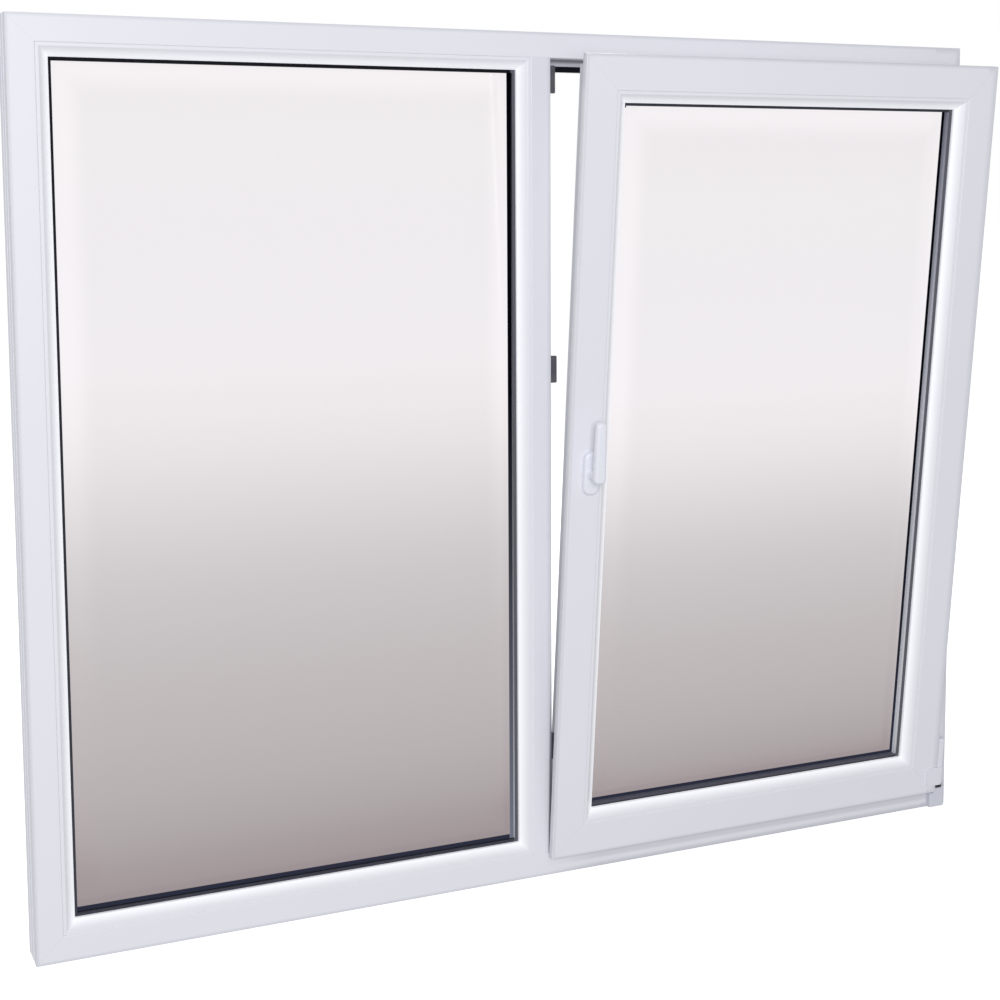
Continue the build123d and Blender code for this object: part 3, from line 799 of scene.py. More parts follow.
@dataclass(frozen=True)
class SpacerBar:
    """Matt aluminium spacer with two rows of fine breathing holes, with painted light, painted shade and a faint
    glow.

    Attributes:
        low: Colour near the sill, painted light from the floor.
        high: Colour near the head, where that painted light has faded.
        height: Height at which it has that colour.
        turn: Power of the fall between them.
        shaded: Strength of the painted shade beside the room-side pane.
        shade_edge: Distance before the bar's middle at which that starts, and the fade.
        level: Colour of the level bars, painted darker as shade.
        hole: Colour inside a hole, also the colour of the painted shade beside the room-side pane.
        bore: Radius of a hole, and the fade.
        pitch: Distance from hole to hole.
        middle: Depth of the bar's middle in the closed place.
        row: Distance of a row of holes from the middle.
    """

    low: Triple = (0.90, 0.94, 1.00)
    high: Triple = (0.19, 0.20, 0.26)
    height: float = 1.40
    turn: float = 1.0
    shaded: float = 0.6
    shade_edge: Pair = (0.0055, 0.005)
    level: Triple = (0.11, 0.115, 0.15)
    hole: Triple = (0.03, 0.03, 0.035)
    bore: Pair = (0.0006, 0.0004)
    pitch: float = 0.004
    middle: float = -0.0155
    row: float = 0.004

    def material(self, name: str, leaf: Leaf) -> Material:
        """The finish of the spacer on that leaf.

        Args:
            name: Material name.
            leaf: Frame or sash.

        Returns:
            The material.
        """
        graph = Graph(name)
        spot = graph.place(leaf)
        x, y, z = graph.parts(spot)
        side = abs(graph.facing()[0]).below(0.5, 0.2)
        step = (x * side + z * (1.0 - side)).folded(self.pitch)
        across = abs(y - (self.middle - self.row)).least(abs(y - (self.middle + self.row)))
        holes = ((across * across + step * step) ** 0.5).below(*self.bore)
        grain = graph.noise(spot, scale=900.0, detail=2.0)
        # Painted light: paler towards the sill, as if lit from the floor.
        fall = (1.0 - (z / self.height).clamped()) ** self.turn
        colour = graph.blend(fall, self.high, self.low)
        # Painted shade: the level bars are darker.
        colour = graph.blend(side, colour, self.level)
        # Painted shade beside the room-side pane.
        before, fade = self.shade_edge
        colour = graph.blend(y.below(self.middle - before, fade) * self.shaded, colour, self.hole)
        colour = graph.blend(holes, colour, self.hole)
        normal = graph.bump(grain, depth=0.00002, strength=0.4)
        # The spacer gives off a faint glow of its own colour: painted light.
        return graph.surface(
            Base_Color=colour, Metallic=0.35, Roughness=0.42 + grain * 0.1, Normal=normal, Emission_Color=colour,
            Emission_Strength=0.20)


@dataclass(frozen=True)
class ClearPane:
    """Room-side float glass: almost clear, with a reflection that grows towards a glancing view.

    Attributes:
        sight: Rectangle of the sight line.
        straight: Reflection seen straight on.
        growth: Power of its growth towards a glancing view.
        clear: How far in from the sight line the reflection has come to a half.
        tint: Colour of the reflection.
    """

    sight: Corners
    straight: float = 0.07
    growth: float = 5.0
    clear: float = 0.040
    tint: Triple = (0.97, 0.98, 0.985)

    def material(self, name: str, leaf: Leaf) -> Material:
        """The finish of an inner pane on that leaf.

        Args:
            name: Material name.
            leaf: Frame or sash.

        Returns:
            The material.
        """
        graph = Graph(name)
        x, _, z = graph.parts(graph.place(leaf))
        glancing = graph.node("ShaderNodeLayerWeight", None, {"Blend": 0.5}, "Facing")
        shine = self.straight + (1.0 - self.straight) * glancing ** self.growth
        shine = shine * self.sight.depth(x, z).beyond(self.clear, self.clear)
        return graph.surface(Base_Color=self.tint, Metallic=1.0, Roughness=0.03, Alpha=shine)


@dataclass(frozen=True)
class ToneGlass:
    """Weather-side glass with a painted reflection: its emission paints the studio's pale-to-grey fall from top to
    bottom.

    Attributes:
        sight: Rectangle of the sight line.
        low: Height at which the darkest tone lies.
        high: Height at which the palest tone lies.
        lip: How far the black seal behind the glass reaches past the sight line.
        lip_fade: Fade of the lip's edge.
        greyish: Painted light given off by that seal near the sill.
        right_run_painted_light: Painted light given off by that seal on the run at the right side.
        painted_light_start: Distance before that lip at which the run starts, and the fade.
        painted_light_rise: Share of the height over which that painted light fades out.
        painted_light_turn: Power of that fall.
        body: Colour of the glass itself.
        black: Colour of the seal itself.
        stops: Share of that height and colour of each tone.
    """

    sight: Corners
    low: float
    high: float
    lip: float = 0.0028
    lip_fade: float = 0.0006
    greyish: Triple = (0.024, 0.027, 0.046)
    right_run_painted_light: Triple = (0.024, 0.027, 0.046)
    painted_light_start: Pair = (0.0005, 0.0008)
    painted_light_rise: float = 0.6
    painted_light_turn: float = 1.5
    body: Triple = (0.020, 0.021, 0.024)
    black: Triple = (0.002, 0.0025, 0.006)
    stops: tuple[tuple[float, Triple], ...] = (
        (0.000, (0.335, 0.284, 0.293)),
        (0.040, (0.358, 0.302, 0.310)),
        (0.080, (0.415, 0.368, 0.370)),
        (0.130, (0.464, 0.419, 0.426)),
        (0.190, (0.504, 0.460, 0.465)),
        (0.250, (0.538, 0.492, 0.498)),
        (0.310, (0.573, 0.533, 0.538)),
        (0.370, (0.622, 0.588, 0.596)),
        (0.410, (0.667, 0.633, 0.642)),
        (0.450, (0.727, 0.690, 0.697)),
        (0.500, (0.801, 0.764, 0.770)),
        (0.540, (0.863, 0.823, 0.830)),
        (0.580, (0.907, 0.865, 0.875)),
        (0.630, (0.937, 0.898, 0.918)),
        (0.700, (0.936, 0.903, 0.930)),
        (0.800, (0.928, 0.895, 0.922)),
        (0.920, (0.932, 0.900, 0.912)),
        (1.000, (0.915, 0.880, 0.900)),
    )

    def material(self, name: str, leaf: Leaf) -> Material:
        """The finish of an outer pane on that leaf.

        Args:
            name: Material name.
            leaf: Frame or sash.

        Returns:
            The material.
        """
        graph = Graph(name)
        x, _, z = graph.parts(graph.place(leaf))
        # Painted reflection: the emitted tone falls from pale at the top to grey at the bottom.
        share = (z - self.low) / (self.high - self.low)
        tone = graph.node("ShaderNodeValToRGB", {"stops": self.stops}, {"Fac": share}, "Color")
        before, fade = self.painted_light_start
        beside = x.beyond(self.sight.right - self.lip - before, fade)
        edge = self.sight.depth(x, z).below(self.lip, self.lip_fade)
        # Painted light on the seal's lip: a greyish glow near the sill and on the right-hand run, fading to black
        # upwards.
        fall = (1.0 - (share / self.painted_light_rise).clamped()) ** self.painted_light_turn
        rubber = graph.blend(fall, (0.0, 0.0, 0.0), graph.blend(beside, self.greyish, self.right_run_painted_light))
        return graph.surface(
            Base_Color=graph.blend(edge, self.body, self.black), Roughness=0.05, Specular_IOR_Level=0.0,
            Coat_Weight=1.0 - edge, Coat_Roughness=0.02, Emission_Color=graph.blend(edge, tone, rubber),
            Emission_Strength=1.0)


@dataclass(frozen=True)
class PaleFloor:
    """Plain white studio floor, lit a little from within.

    Attributes:
        colour: Its colour.
        worn: Its colour where it is a little paler.
        glow: Light that it gives off.
    """

    colour: Triple = (0.90, 0.90, 0.90)
    worn: Triple = (0.93, 0.93, 0.935)
    glow: float = 0.63

    def material(self, name: str) -> Material:
        """The finish of the floor.

        Args:
            name: Material name.

        Returns:
            The material.
        """
        graph = Graph(name)
        colour = graph.blend(graph.noise(graph.place(), scale=0.6, detail=2.0) * 0.2, self.colour, self.worn)
        return graph.surface(
            Base_Color=colour, Roughness=0.9, Emission_Color=(1.0, 1.0, 1.0), Emission_Strength=self.glow)


Finish = Union[ExtrudedPlastic, Rubber, Metal, PowderCoat, SpacerBar, ClearPane, ToneGlass]

# Finishes that differ between frame and sash.
BAR_PLASTIC = {
    Leaf.FRAME: BarPlastic(
        recess_from=(0.008, 0.002), face=-0.050, flank=0.0, foot=0.28, side=0.18, side_reach=(0.013, 0.001)),
    Leaf.SASH: BarPlastic(),
}
# Room-side seal: greyer than the rest, with painted light on its right-hand run.
GREY_SEAL = Rubber(colour=(0.045, 0.048, 0.064), bloom=(0.065, 0.068, 0.088), right_run_painted_light=(0.10, 0.105, 0.125))
GREY_SEAL_RUBBER = {
    Leaf.FRAME: replace(GREY_SEAL, darkening=1.0, right=SIGHTS[Leaf.FRAME].right - SEAL_RUN),
    Leaf.SASH: replace(GREY_SEAL, darkening=0.3, right=SIGHTS[Leaf.SASH].right - SEAL_RUN, trim=SIGHTS[Leaf.SASH]),
}
# The frame's copy is darker: painted shade on the bearing and the stay's bearing.
HINGE_COAT = {
    Leaf.FRAME: PowderCoat((0.650, 0.670, 0.750), (0.630, 0.650, 0.730), 0.36),
    Leaf.SASH: PowderCoat((0.790, 0.798, 0.866), (0.775, 0.783, 0.851), 0.34),
}
SPACERS = {
    Leaf.FRAME: SpacerBar(
        low=(0.92, 0.94, 1.00), high=(0.008, 0.008, 0.020), turn=1.7, shaded=0.0, level=(0.020, 0.020, 0.030),
        middle=0.0025),
    Leaf.SASH: SpacerBar(),
}
TONES = {
    Leaf.FRAME: ToneGlass(SIGHTS[Leaf.FRAME], 0.060, 1.390, lip=0.0042, right_run_painted_light=(0.155, 0.165, 0.215)),
    Leaf.SASH: ToneGlass(SIGHTS[Leaf.SASH], 0.074, 1.271),
}


@dataclass
class Palette:
    """Every finish of the window, made once.

    Attributes:
        made: The materials by name.
    """

    made: dict[str, Material] = field(default_factory=dict)

    def _kept(self, name: str, finish: Finish, *where: Leaf | Run | Corners) -> Material:
        """Builds a material the first time it is asked for.

        Args:
            name: Material name.
            finish: The finish that makes it.
            *where: What that finish asks for besides the name.

        Returns:
            The material.
        """
        if name not in self.made:
            self.made[name] = finish.material(name, *where)
        return self.made[name]

    def bar(self, leaf: Leaf, run: Run) -> Material:
        """Frame or sash profile."""
        return self._kept(f"pvc_{leaf.value}_{run.value}", BAR_PLASTIC[leaf], leaf, run, BARS[leaf])

    def post(self) -> Material:
        """Mullion profile."""
        return self._kept("pvc_mullion", PostPlastic(), Leaf.FRAME, Run.UPRIGHT)

    def beads(self, leaf: Leaf, run: Run) -> Material:
        """Glazing bead."""
        return self._kept(f"bead_{leaf.value}_{run.value}", BeadPlastic(), leaf, run, BEADS[leaf])

    def rubber(self, leaf: Leaf) -> Material:
        """Seal."""
        return self._kept(f"rubber_{leaf.value}", Rubber(), leaf)

    def greyish(self, leaf: Leaf) -> Material:
        """Seal on the room side of the glass, greyer, with painted light on its right-hand run."""
        return self._kept(f"rubber_dusty_{leaf.value}", GREY_SEAL_RUBBER[leaf], leaf)

    def liner(self) -> Material:
        """Dark plastic round the hinge pin, which also stands in for the shade in the hinge's gap."""
        return self._kept("hinge_liner", Rubber((0.030, 0.032, 0.040), (0.045, 0.048, 0.058)), Leaf.FRAME)

    def zinc(self, leaf: Leaf) -> Material:
        """Plated gear."""
        return self._kept(f"zinc_{leaf.value}", Metal(), leaf)

    def dark(self) -> Material:
        """Coated keeps."""
        coat = Metal((0.095, 0.088, 0.108), (0.14, 0.13, 0.15), metallic=0.35, roughness=0.42, grain=0.00004)
        return self._kept("keep_coat", coat, Leaf.FRAME)

    def coat(self, leaf: Leaf) -> Material:
        """White coat of the handle."""
        return self._kept(f"white_coat_{leaf.value}", PowderCoat(), leaf)

    def hinge(self, leaf: Leaf) -> Material:
        """White coat of the hinge parts, duller and with painted shade on those that stand on the frame."""
        return self._kept(f"hinge_coat_{leaf.value}", HINGE_COAT[leaf], leaf)

    def spacer(self, leaf: Leaf) -> Material:
        """Spacer between the panes."""
        return self._kept(f"spacer_{leaf.value}", SPACERS[leaf], leaf)

    def clear(self, leaf: Leaf) -> Material:
        """Room-side pane."""
        return self._kept(f"glass_clear_{leaf.value}", ClearPane(SIGHTS[leaf]), leaf)

    def tone(self, leaf: Leaf) -> Material:
        """Weather-side pane."""
        return self._kept(f"glass_tone_{leaf.value}", TONES[leaf], leaf)


class Solid:
    """A mesh under construction."""

    def __init__(self) -> None:
        """Starts empty."""
        self.mesh = bmesh.new()

    def box(self, low: Triple, high: Triple) -> Verts:
        """Adds a box between two corners.

        Args:
            low: Lowest corner.
            high: Highest corner.

        Returns:
            Its eight corners.
        """
        size = [b - a for a, b in zip(low, high)]
        middle = [(a + b) / 2 for a, b in zip(low, high)]
        matrix = Matrix.Translation(middle) @ Matrix.Diagonal((*size, 1.0))
        return bmesh.ops.create_cube(self.mesh, size=1.0, matrix=matrix)["verts"]

    def edges_of(self, verts: Iterable[bmesh.types.BMVert], axis: int | None = None) -> list[bmesh.types.BMEdge]:
        """Edges whose two ends are both among some vertices.

        Args:
            verts: The vertices.
            axis: Keeps only edges that run along this axis.

        Returns:
            The edges.
        """
        chosen = set(verts)
        found = {e for v in chosen for e in v.link_edges if e.verts[0] in chosen and e.verts[1] in chosen}
        if axis is None:
            return list(found)
        return [e for e in found if abs((e.verts[0].co - e.verts[1].co).normalized()[axis]) > ALONG]

    def bevel(self, edges: Iterable[bmesh.types.BMEdge], width: float, segments: int) -> Verts:
        """Rounds edges.

        Args:
            edges: Edges to round.
            width: How far the rounding reaches.
            segments: Steps of the rounding.

        Returns:
            The vertices of the whole island that the edges belong to.
        """
        edges = list(edges)
        keep = set(self.mesh.verts) - self._island(edges[0].verts[0])
        bmesh.ops.bevel(
            self.mesh, geom=edges, offset=width, segments=segments, profile=0.5, affect="EDGES", material=-1,
            clamp_overlap=True)
        return [v for v in self.mesh.verts if v not in keep]

    @staticmethod
    def _island(start: bmesh.types.BMVert) -> set[bmesh.types.BMVert]:
        """Every vertex that is joined to one vertex.

        Args:
            start: That vertex.

        Returns:
            The vertices, itself among them.
        """
        seen = {start}
        todo = [start]
        while todo:
            for edge in todo.pop().link_edges:
                for vert in edge.verts:
                    if vert not in seen:
                        seen.add(vert)
                        todo.append(vert)
        return seen

    def cylinder(self, radius: float, low: float, high: float, matrix: Matrix, sides: int = 32,
                 top_radius: float | None = None) -> Verts:
        """Adds a capped cylinder or cone along the matrix's Z axis.

        Args:
            radius: Radius at the low end.
            low: Where it starts.
            high: Where it ends.
            matrix: Place of its axis.
            sides: Number of sides.
            top_radius: Radius at the high end, if it differs.

        Returns:
            Its vertices.
        """
        place = matrix @ Matrix.Translation((0, 0, (low + high) / 2))
        return bmesh.ops.create_cone(
            self.mesh, cap_ends=True, cap_tris=False, segments=sides, radius1=radius,
            radius2=radius if top_radius is None else top_radius, depth=high - low, matrix=place)["verts"]

    def piece(self, name: str, leaf: Leaf, materials: Sequence[Material],
              sharp: float = 38.0) -> bpy.types.Object:
        """Turns the mesh into a piece that rides with the window.

        Args:
            name: Piece name.
            leaf: Frame or sash, which says whether it is swung in.
            materials: Its finishes by slot number.
            sharp: Angle in degrees above which an edge stays sharp.

        Returns:
            The new object.
        """
        bmesh.ops.recalc_face_normals(self.mesh, faces=self.mesh.faces[:])
        bmesh.ops.transform(self.mesh, matrix=leaf.swing, verts=self.mesh.verts[:])
        data = bpy.data.meshes.new(name)
        self.mesh.to_mesh(data)
        self.mesh.free()
        for polygon in data.polygons:
            polygon.use_smooth = True
        data.set_sharp_from_angle(angle=math.radians(sharp))
        for material in materials:
            data.materials.append(material)
        made = bpy.data.objects.new(name, data)
        bpy.context.scene.collection.objects.link(made)
        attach(made, "root")
        LOG.info("%s: %d faces", name, len(data.polygons))
        return made


def towards(position: Sequence[float], facing: Sequence[float]) -> Matrix:
    """Matrix whose Z axis points along a direction.

    Args:
        position: Its origin.
        facing: Direction of its Z axis.

    Returns:
        The matrix.
    """
    turn = Vector(facing).to_track_quat("Z", "Y").to_matrix().to_4x4()
    return Matrix.Translation(position) @ turn


def dress(nodes: Nodes, names: Iterable[str], material: Material) -> None:
    """Gives CAD nodes a finish.

    Args:
        nodes: The CAD nodes by name.
        names: Which of them.
        material: Their finish.
    """
    for name in names:
        slots = nodes[name].data.materials
        slots.clear()
        slots.append(material)
        LOG.info("%s dressed in %s", name, material.name)


@dataclass(frozen=True)
class Screw:
    """A countersunk screw head with a cross slot, in shares of its radius.

    Attributes:
        radius: Radius of the head in metres.
        foot: Radius of the cone's low end.
        sunk: Depth of the cone.
        crown: Radius of the crown at its foot and at its top.
        rise: Height of the crown.
        border: Inset round the crown's top.
        arm: Half the length and half the width of the slot's arms.
        slot: Heights between which the arms lie.
    """

    radius: float
    foot: float = 0.55
    sunk: float = 0.5
    crown: Pair = (0.93, 0.72)
    rise: float = 0.16
    border: float = 0.1
    arm: Pair = (0.55, 0.09)
    slot: Pair = (0.10, 0.175)

    def build(self, solid: Solid, matrix: Matrix) -> None:
        """Adds the head, flush with the matrix's XY plane and facing its Z.

        Args:
            solid: The mesh that it joins.
            matrix: Place of the head.
        """
        radius = self.radius
        solid.cylinder(radius * self.foot, -radius * self.sunk, 0.0, matrix, sides=20, top_radius=radius)
        wide, narrow = (radius * share for share in self.crown)
        crown = solid.cylinder(wide, 0.0, radius * self.rise, matrix, sides=20, top_radius=narrow)
        out = matrix.to_3x3().col[2]
        top = max((f for v in crown for f in v.link_faces), key=lambda f: (f.normal @ out, f.calc_area()))
        bmesh.ops.inset_individual(solid.mesh, faces=[top], thickness=radius * self.border, depth=0.0)
        length, width = (radius * share for share in self.arm)
        low, high = (radius * share for share in self.slot)
        for turn in (0.25, 0.75):
            arm = solid.box((-length, -width, low), (length, width, high))
            bmesh.ops.transform(solid.mesh, matrix=matrix @ Matrix.Rotation(turn * math.pi, 4, "Z"), verts=arm)
            for face in {f for v in arm for f in v.link_faces}:
                face.material_index = 1


@dataclass
class OuterFrame:
    """Sill, head, jambs and mullion, with the seal on their upstand.

    Attributes:
        palette: The finishes.
    """

    palette: Palette

    def dress(self, nodes: Nodes) -> None:
        """Gives the bars their plastic and the seal its rubber.

        Args:
            nodes: The CAD nodes by name.
        """
        dress(nodes, ("frame_sill", "frame_head"), self.palette.bar(Leaf.FRAME, Run.LEVEL))
        dress(nodes, ("frame_left_jamb", "frame_right_jamb"), self.palette.bar(Leaf.FRAME, Run.UPRIGHT))
        dress(nodes, ("mullion",), self.palette.post())
        dress(nodes, ("frame_rebate_seal",), self.palette.rubber(Leaf.FRAME))
        dress(nodes, ("drain_caps",), self.palette.beads(Leaf.FRAME, Run.LEVEL))


@dataclass
class Light:
    """One glazed light: beads, panes, spacer and seals.

    Attributes:
        palette: The finishes.
        prefix: First word of its nodes' names.
        leaf: Frame or sash.
    """

    palette: Palette
    prefix: str
    leaf: Leaf

    def dress(self, nodes: Nodes) -> None:
        """Gives beads, panes, spacer and seals their finishes.

        Args:
            nodes: The CAD nodes by name.
        """
        finishes = {
            "bead_bottom": self.palette.beads(self.leaf, Run.LEVEL),
            "bead_top": self.palette.beads(self.leaf, Run.LEVEL),
            "bead_left": self.palette.beads(self.leaf, Run.UPRIGHT),
            "bead_right": self.palette.beads(self.leaf, Run.UPRIGHT),
            "pane_inner": self.palette.clear(self.leaf),
            "pane_outer": self.palette.tone(self.leaf),
            "spacer": self.palette.spacer(self.leaf),
            "seal_inner": self.palette.greyish(self.leaf),
            "seal_outer": self.palette.rubber(self.leaf),
        }
        for part, material in finishes.items():
            dress(nodes, (f"{self.prefix}_{part}",), material)


@dataclass
class Sash:
    """Rails and stiles of the tilted sash, with its flap seal and the gear in its edges.

    Attributes:
        palette: The finishes.
        gear_depth: Middle of the gear groove in the closed place.
        left: Groove side of the lock stile.
        right: Groove side of the hinge stile.
        low: Groove side of the bottom rail.
        high: Groove side of the top rail.
        lock_heights: Screws of the lock stile.
        hinge_heights: Screws of the hinge stile.
        rail_places: Screws of the two rails.
        screw: A faceplate screw.
    """

    palette: Palette
    gear_depth: float = -0.026
    left: float = 0.030
    right: float = 0.796
    low: float = 0.054
    high: float = 1.396
    lock_heights: tuple[float, ...] = (
        0.100, 0.112, 0.160, 0.172, 0.215, 0.420, 0.620, 0.800, 1.000, 1.160, 1.245, 1.300, 1.312, 1.365, 1.377)
    hinge_heights: tuple[float, ...] = (0.215, 0.420, 0.620, 0.800, 1.000, 1.160, 1.245)
    rail_places: tuple[float, ...] = (0.070, 0.140, 0.190, 0.380, 0.500, 0.640)
    screw: Screw = Screw(0.0042)

    def dress(self, nodes: Nodes) -> None:
        """Gives rails, stiles, seal and gear their finishes.

        Args:
            nodes: The CAD nodes by name.
        """
        dress(nodes, ("sash_bottom_rail", "sash_top_rail"), self.palette.bar(Leaf.SASH, Run.LEVEL))
        dress(nodes, ("sash_lock_stile", "sash_hinge_stile"), self.palette.bar(Leaf.SASH, Run.UPRIGHT))
        dress(nodes, ("sash_flap_seal",), self.palette.rubber(Leaf.SASH))
        gear = ("gear_lock_side", "gear_hinge_side", "gear_top", "gear_bottom", "corner_drive_bottom",
                "corner_drive_top", "stay_slider")
        dress(nodes, gear, self.palette.zinc(Leaf.SASH))

    def screws(self) -> bpy.types.Object:
        """Adds the countersunk screws that hold the faceplates.

        Returns:
            The piece that they make up.
        """
        solid = Solid()
        for z in self.lock_heights:
            self.screw.build(solid, towards((self.left, self.gear_depth, z), (-1, 0, 0)))
        for z in self.hinge_heights:
            self.screw.build(solid, towards((self.right, self.gear_depth, z), (1, 0, 0)))
        for x in self.rail_places:
            self.screw.build(solid, towards((x, self.gear_depth, self.high), (0, 0, 1)))
            self.screw.build(solid, towards((x, self.gear_depth, self.low), (0, 0, -1)))
        materials = (self.palette.zinc(Leaf.SASH), self.palette.rubber(Leaf.SASH))
        return solid.piece("gear_screws", Leaf.SASH, materials)


@dataclass
class Keeps:
    """Dark keeps in the frame's rebate and their screws.

    Attributes:
        palette: The finishes.
        post: Mullion face that carries the lock-side keeps.
        depth: Middle of a keep's plate.
        plate: Thickness of the plate.
        heights: Middles of the lock-side keeps.
        reach: Half the distance between a keep's two screws.
        screw: A screw of a keep.
    """

    palette: Palette
    post: float = 0.018
    depth: float = -0.023
    plate: float = 0.0025
    heights: tuple[float, ...] = (0.114, 0.230, 0.887, 1.373)
    reach: float = 0.012
    screw: Screw = Screw(0.0038)

    def dress(self, nodes: Nodes) -> None:
        """Gives the keeps their dark coat."""
        dress(nodes, ("keeps",), self.palette.dark())

    def screws(self) -> bpy.types.Object:
        """Adds two screws to each keep on the mullion.

        Returns:
            The piece that they make up.
        """
        solid = Solid()
        surface = self.post + self.plate
        for z in self.heights:
            for step in (-self.reach, self.reach):
                self.screw.build(solid, towards((surface, self.depth, z + step), (1, 0, 0)))
        materials = (self.palette.dark(), self.palette.rubber(Leaf.FRAME))
        return solid.piece("keep_screws", Leaf.FRAME, materials)


@dataclass
class Handle:
    """Base and lever of the handle, lever up.

    Attributes:
        palette: The finishes.
        axis: X and Z of the spindle in the closed place.
        face: Sash face that it stands on.
        base: Width, depth and height of the base.
        foot: Depth of the base's thin foot.
        overlap: Distance from the face at which the cover starts.
        inset: How far the cover's outline lies inside the foot's.
        corners: Rounding of the foot and of the cover, in shares of the base's width.
        cover_rim: Soft edge round the cover's front.
        collar: Radius of the collar in shares of the neck's, and its height.
        sunk: How far the collar starts inside the cover.
        collar_rim: Soft edge round the collar's front.
        stand_off: Distance of the grip's middle from the face.
        reach: Height of the lever's tip over the spindle.
        grip: Width and thickness of the grip at the neck.
        tip: Width and thickness at the tip.
        grip_corner: Rounding of the grip's outline, in shares of the tip's width.
        grip_rim: Soft edge round the grip's front and back.
        neck: Radius of the neck.
        taper: Share of that radius at the grip.
    """

    palette: Palette
    axis: Pair = (0.048, 0.727)
    face: float = -0.053
    base: Triple = (0.030, 0.011, 0.075)
    foot: float = 0.0016
    overlap: float = 0.0014
    inset: float = 0.0006
    corners: Pair = (0.45, 0.43)
    cover_rim: float = 0.0042
    collar: Pair = (1.16, 0.0034)
    sunk: float = 0.001
    collar_rim: float = 0.0012
    stand_off: float = 0.036
    reach: float = 0.094
    grip: Pair = (0.0212, 0.0165)
    tip: Pair = (0.0186, 0.0125)
    grip_corner: float = 0.44
    grip_rim: float = 0.0056
    neck: float = 0.009
    taper: float = 0.94

    def _slab(self, solid: Solid, inset: float, back: float, front: float, corner: float) -> Verts:
        """Adds an upright slab round the spindle with rounded corners.

        Args:
            solid: The mesh that it joins.
            inset: How far its outline lies inside the base's.
            back: Distance of its back from the sash face.
            front: Distance of its front.
            corner: Rounding in shares of the base's width.

        Returns:
            Its vertices.
        """
        x, z = self.axis
        wide = self.base[0] / 2 - inset
        tall = self.base[2] / 2 - inset
        slab = solid.box((x - wide, self.face - front, z - tall), (x + wide, self.face - back, z + tall))
        return solid.bevel(solid.edges_of(slab, 1), self.base[0] * corner, segments=10)

    def rosette(self) -> bpy.types.Object:
        """Adds the base: a soft-edged cover on a thin foot.

        Returns:
            The base.
        """
        solid = Solid()
        self._slab(solid, 0.0, 0.0, self.foot, self.corners[0])
        cover = self._slab(solid, self.inset, self.overlap, self.base[1], self.corners[1])
        front = min(v.co.y for v in cover)
        rim = [e for e in solid.edges_of(cover) if all(abs(v.co.y - front) < NEAR for v in e.verts)]
        solid.bevel(rim, self.cover_rim, segments=6)
        made = solid.piece("handle_base", Leaf.SASH, (self.palette.coat(Leaf.SASH),))
        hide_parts("handle_rosette")
        return made

    def lever(self) -> bpy.types.Object:
        """Adds the collar, neck and tapering grip.

        Returns:
            The lever.
        """
        x, z = self.axis
        solid = Solid()
        cover = self.face - self.base[1]
        out = towards((x, cover, z), (0, -1, 0))
        radius, height = self.neck * self.collar[0], self.collar[1]
        collar = solid.cylinder(radius, -self.sunk, height, out, sides=48)
        front = [e for e in solid.edges_of(collar) if all(v.co.y < cover - height / 2 for v in e.verts)]
        solid.bevel(front, self.collar_rim, segments=3)
        length = self.stand_off - self.base[1]
        solid.cylinder(self.neck, 0.0, length, out, sides=48, top_radius=self.neck * self.taper)
        middle = self.face - self.stand_off
        width, thick = self.grip
        low = (x - width / 2, middle - thick / 2, z - width / 2)
        grip = solid.box(low, (x + width / 2, middle + thick / 2, z + self.reach))
        for vert in grip:
            if vert.co.z > z:
                vert.co.x = x + (vert.co.x - x) * self.tip[0] / width
                vert.co.y = middle + (vert.co.y - middle) * self.tip[1] / thick
        grip = solid.bevel(solid.edges_of(grip, 1), self.tip[0] * self.grip_corner, segments=8)
        outline = [e for e in solid.edges_of(grip) if abs((e.verts[0].co - e.verts[1].co).normalized().y) < 0.5]
        rim = [e for e in outline if len(e.link_faces) == 2 and e.calc_face_angle(0.0) > math.radians(60)]
        solid.bevel(rim, self.grip_rim, segments=8)
        made = solid.piece("handle_grip", Leaf.SASH, (self.palette.coat(Leaf.SASH),))
        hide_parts("handle_lever")
        return made


@dataclass
class HingeSide:
    """Corner bearing, barrel and stay on the hinge side.

    Attributes:
        palette: The finishes.
        liner: Lowest and highest corner of the dark liner round the pin.
        corner: Radius of the liner's upright edges.
        rim: Soft edge at its top and foot.
    """

    palette: Palette
    liner: tuple[Triple, Triple] = ((0.8185, -0.0505, 0.040), (0.8350, -0.0365, 0.0478))
    corner: float = 0.0060
    rim: float = 0.0006

    def dress(self, nodes: Nodes) -> None:
        """Gives the hinge parts their coat and the stay its plating.

        Args:
            nodes: The CAD nodes by name.
        """
        dress(nodes, ("corner_hinge_bearing", "stay_bearing"), self.palette.hinge(Leaf.FRAME))
        dress(nodes, ("corner_hinge_barrel",), self.palette.hinge(Leaf.SASH))
        dress(nodes, ("corner_hinge_pin", "stay_arm"), self.palette.zinc(Leaf.FRAME))

    def bush(self) -> bpy.types.Object:
        """Adds the dark liner between bearing and barrel, soft at top and foot; it also stands in for the gap's
        shade.

        Returns:
            The liner.
        """
        solid = Solid()
        body = solid.box(*self.liner)
        body = solid.bevel(solid.edges_of(body, 2), self.corner, segments=8)
        rim = [e for e in solid.edges_of(body) if abs(e.verts[0].co.z - e.verts[1].co.z) < NEAR]
        solid.bevel(rim, self.rim, segments=2)
        return solid.piece("hinge_bush", Leaf.FRAME, (self.palette.liner(),))


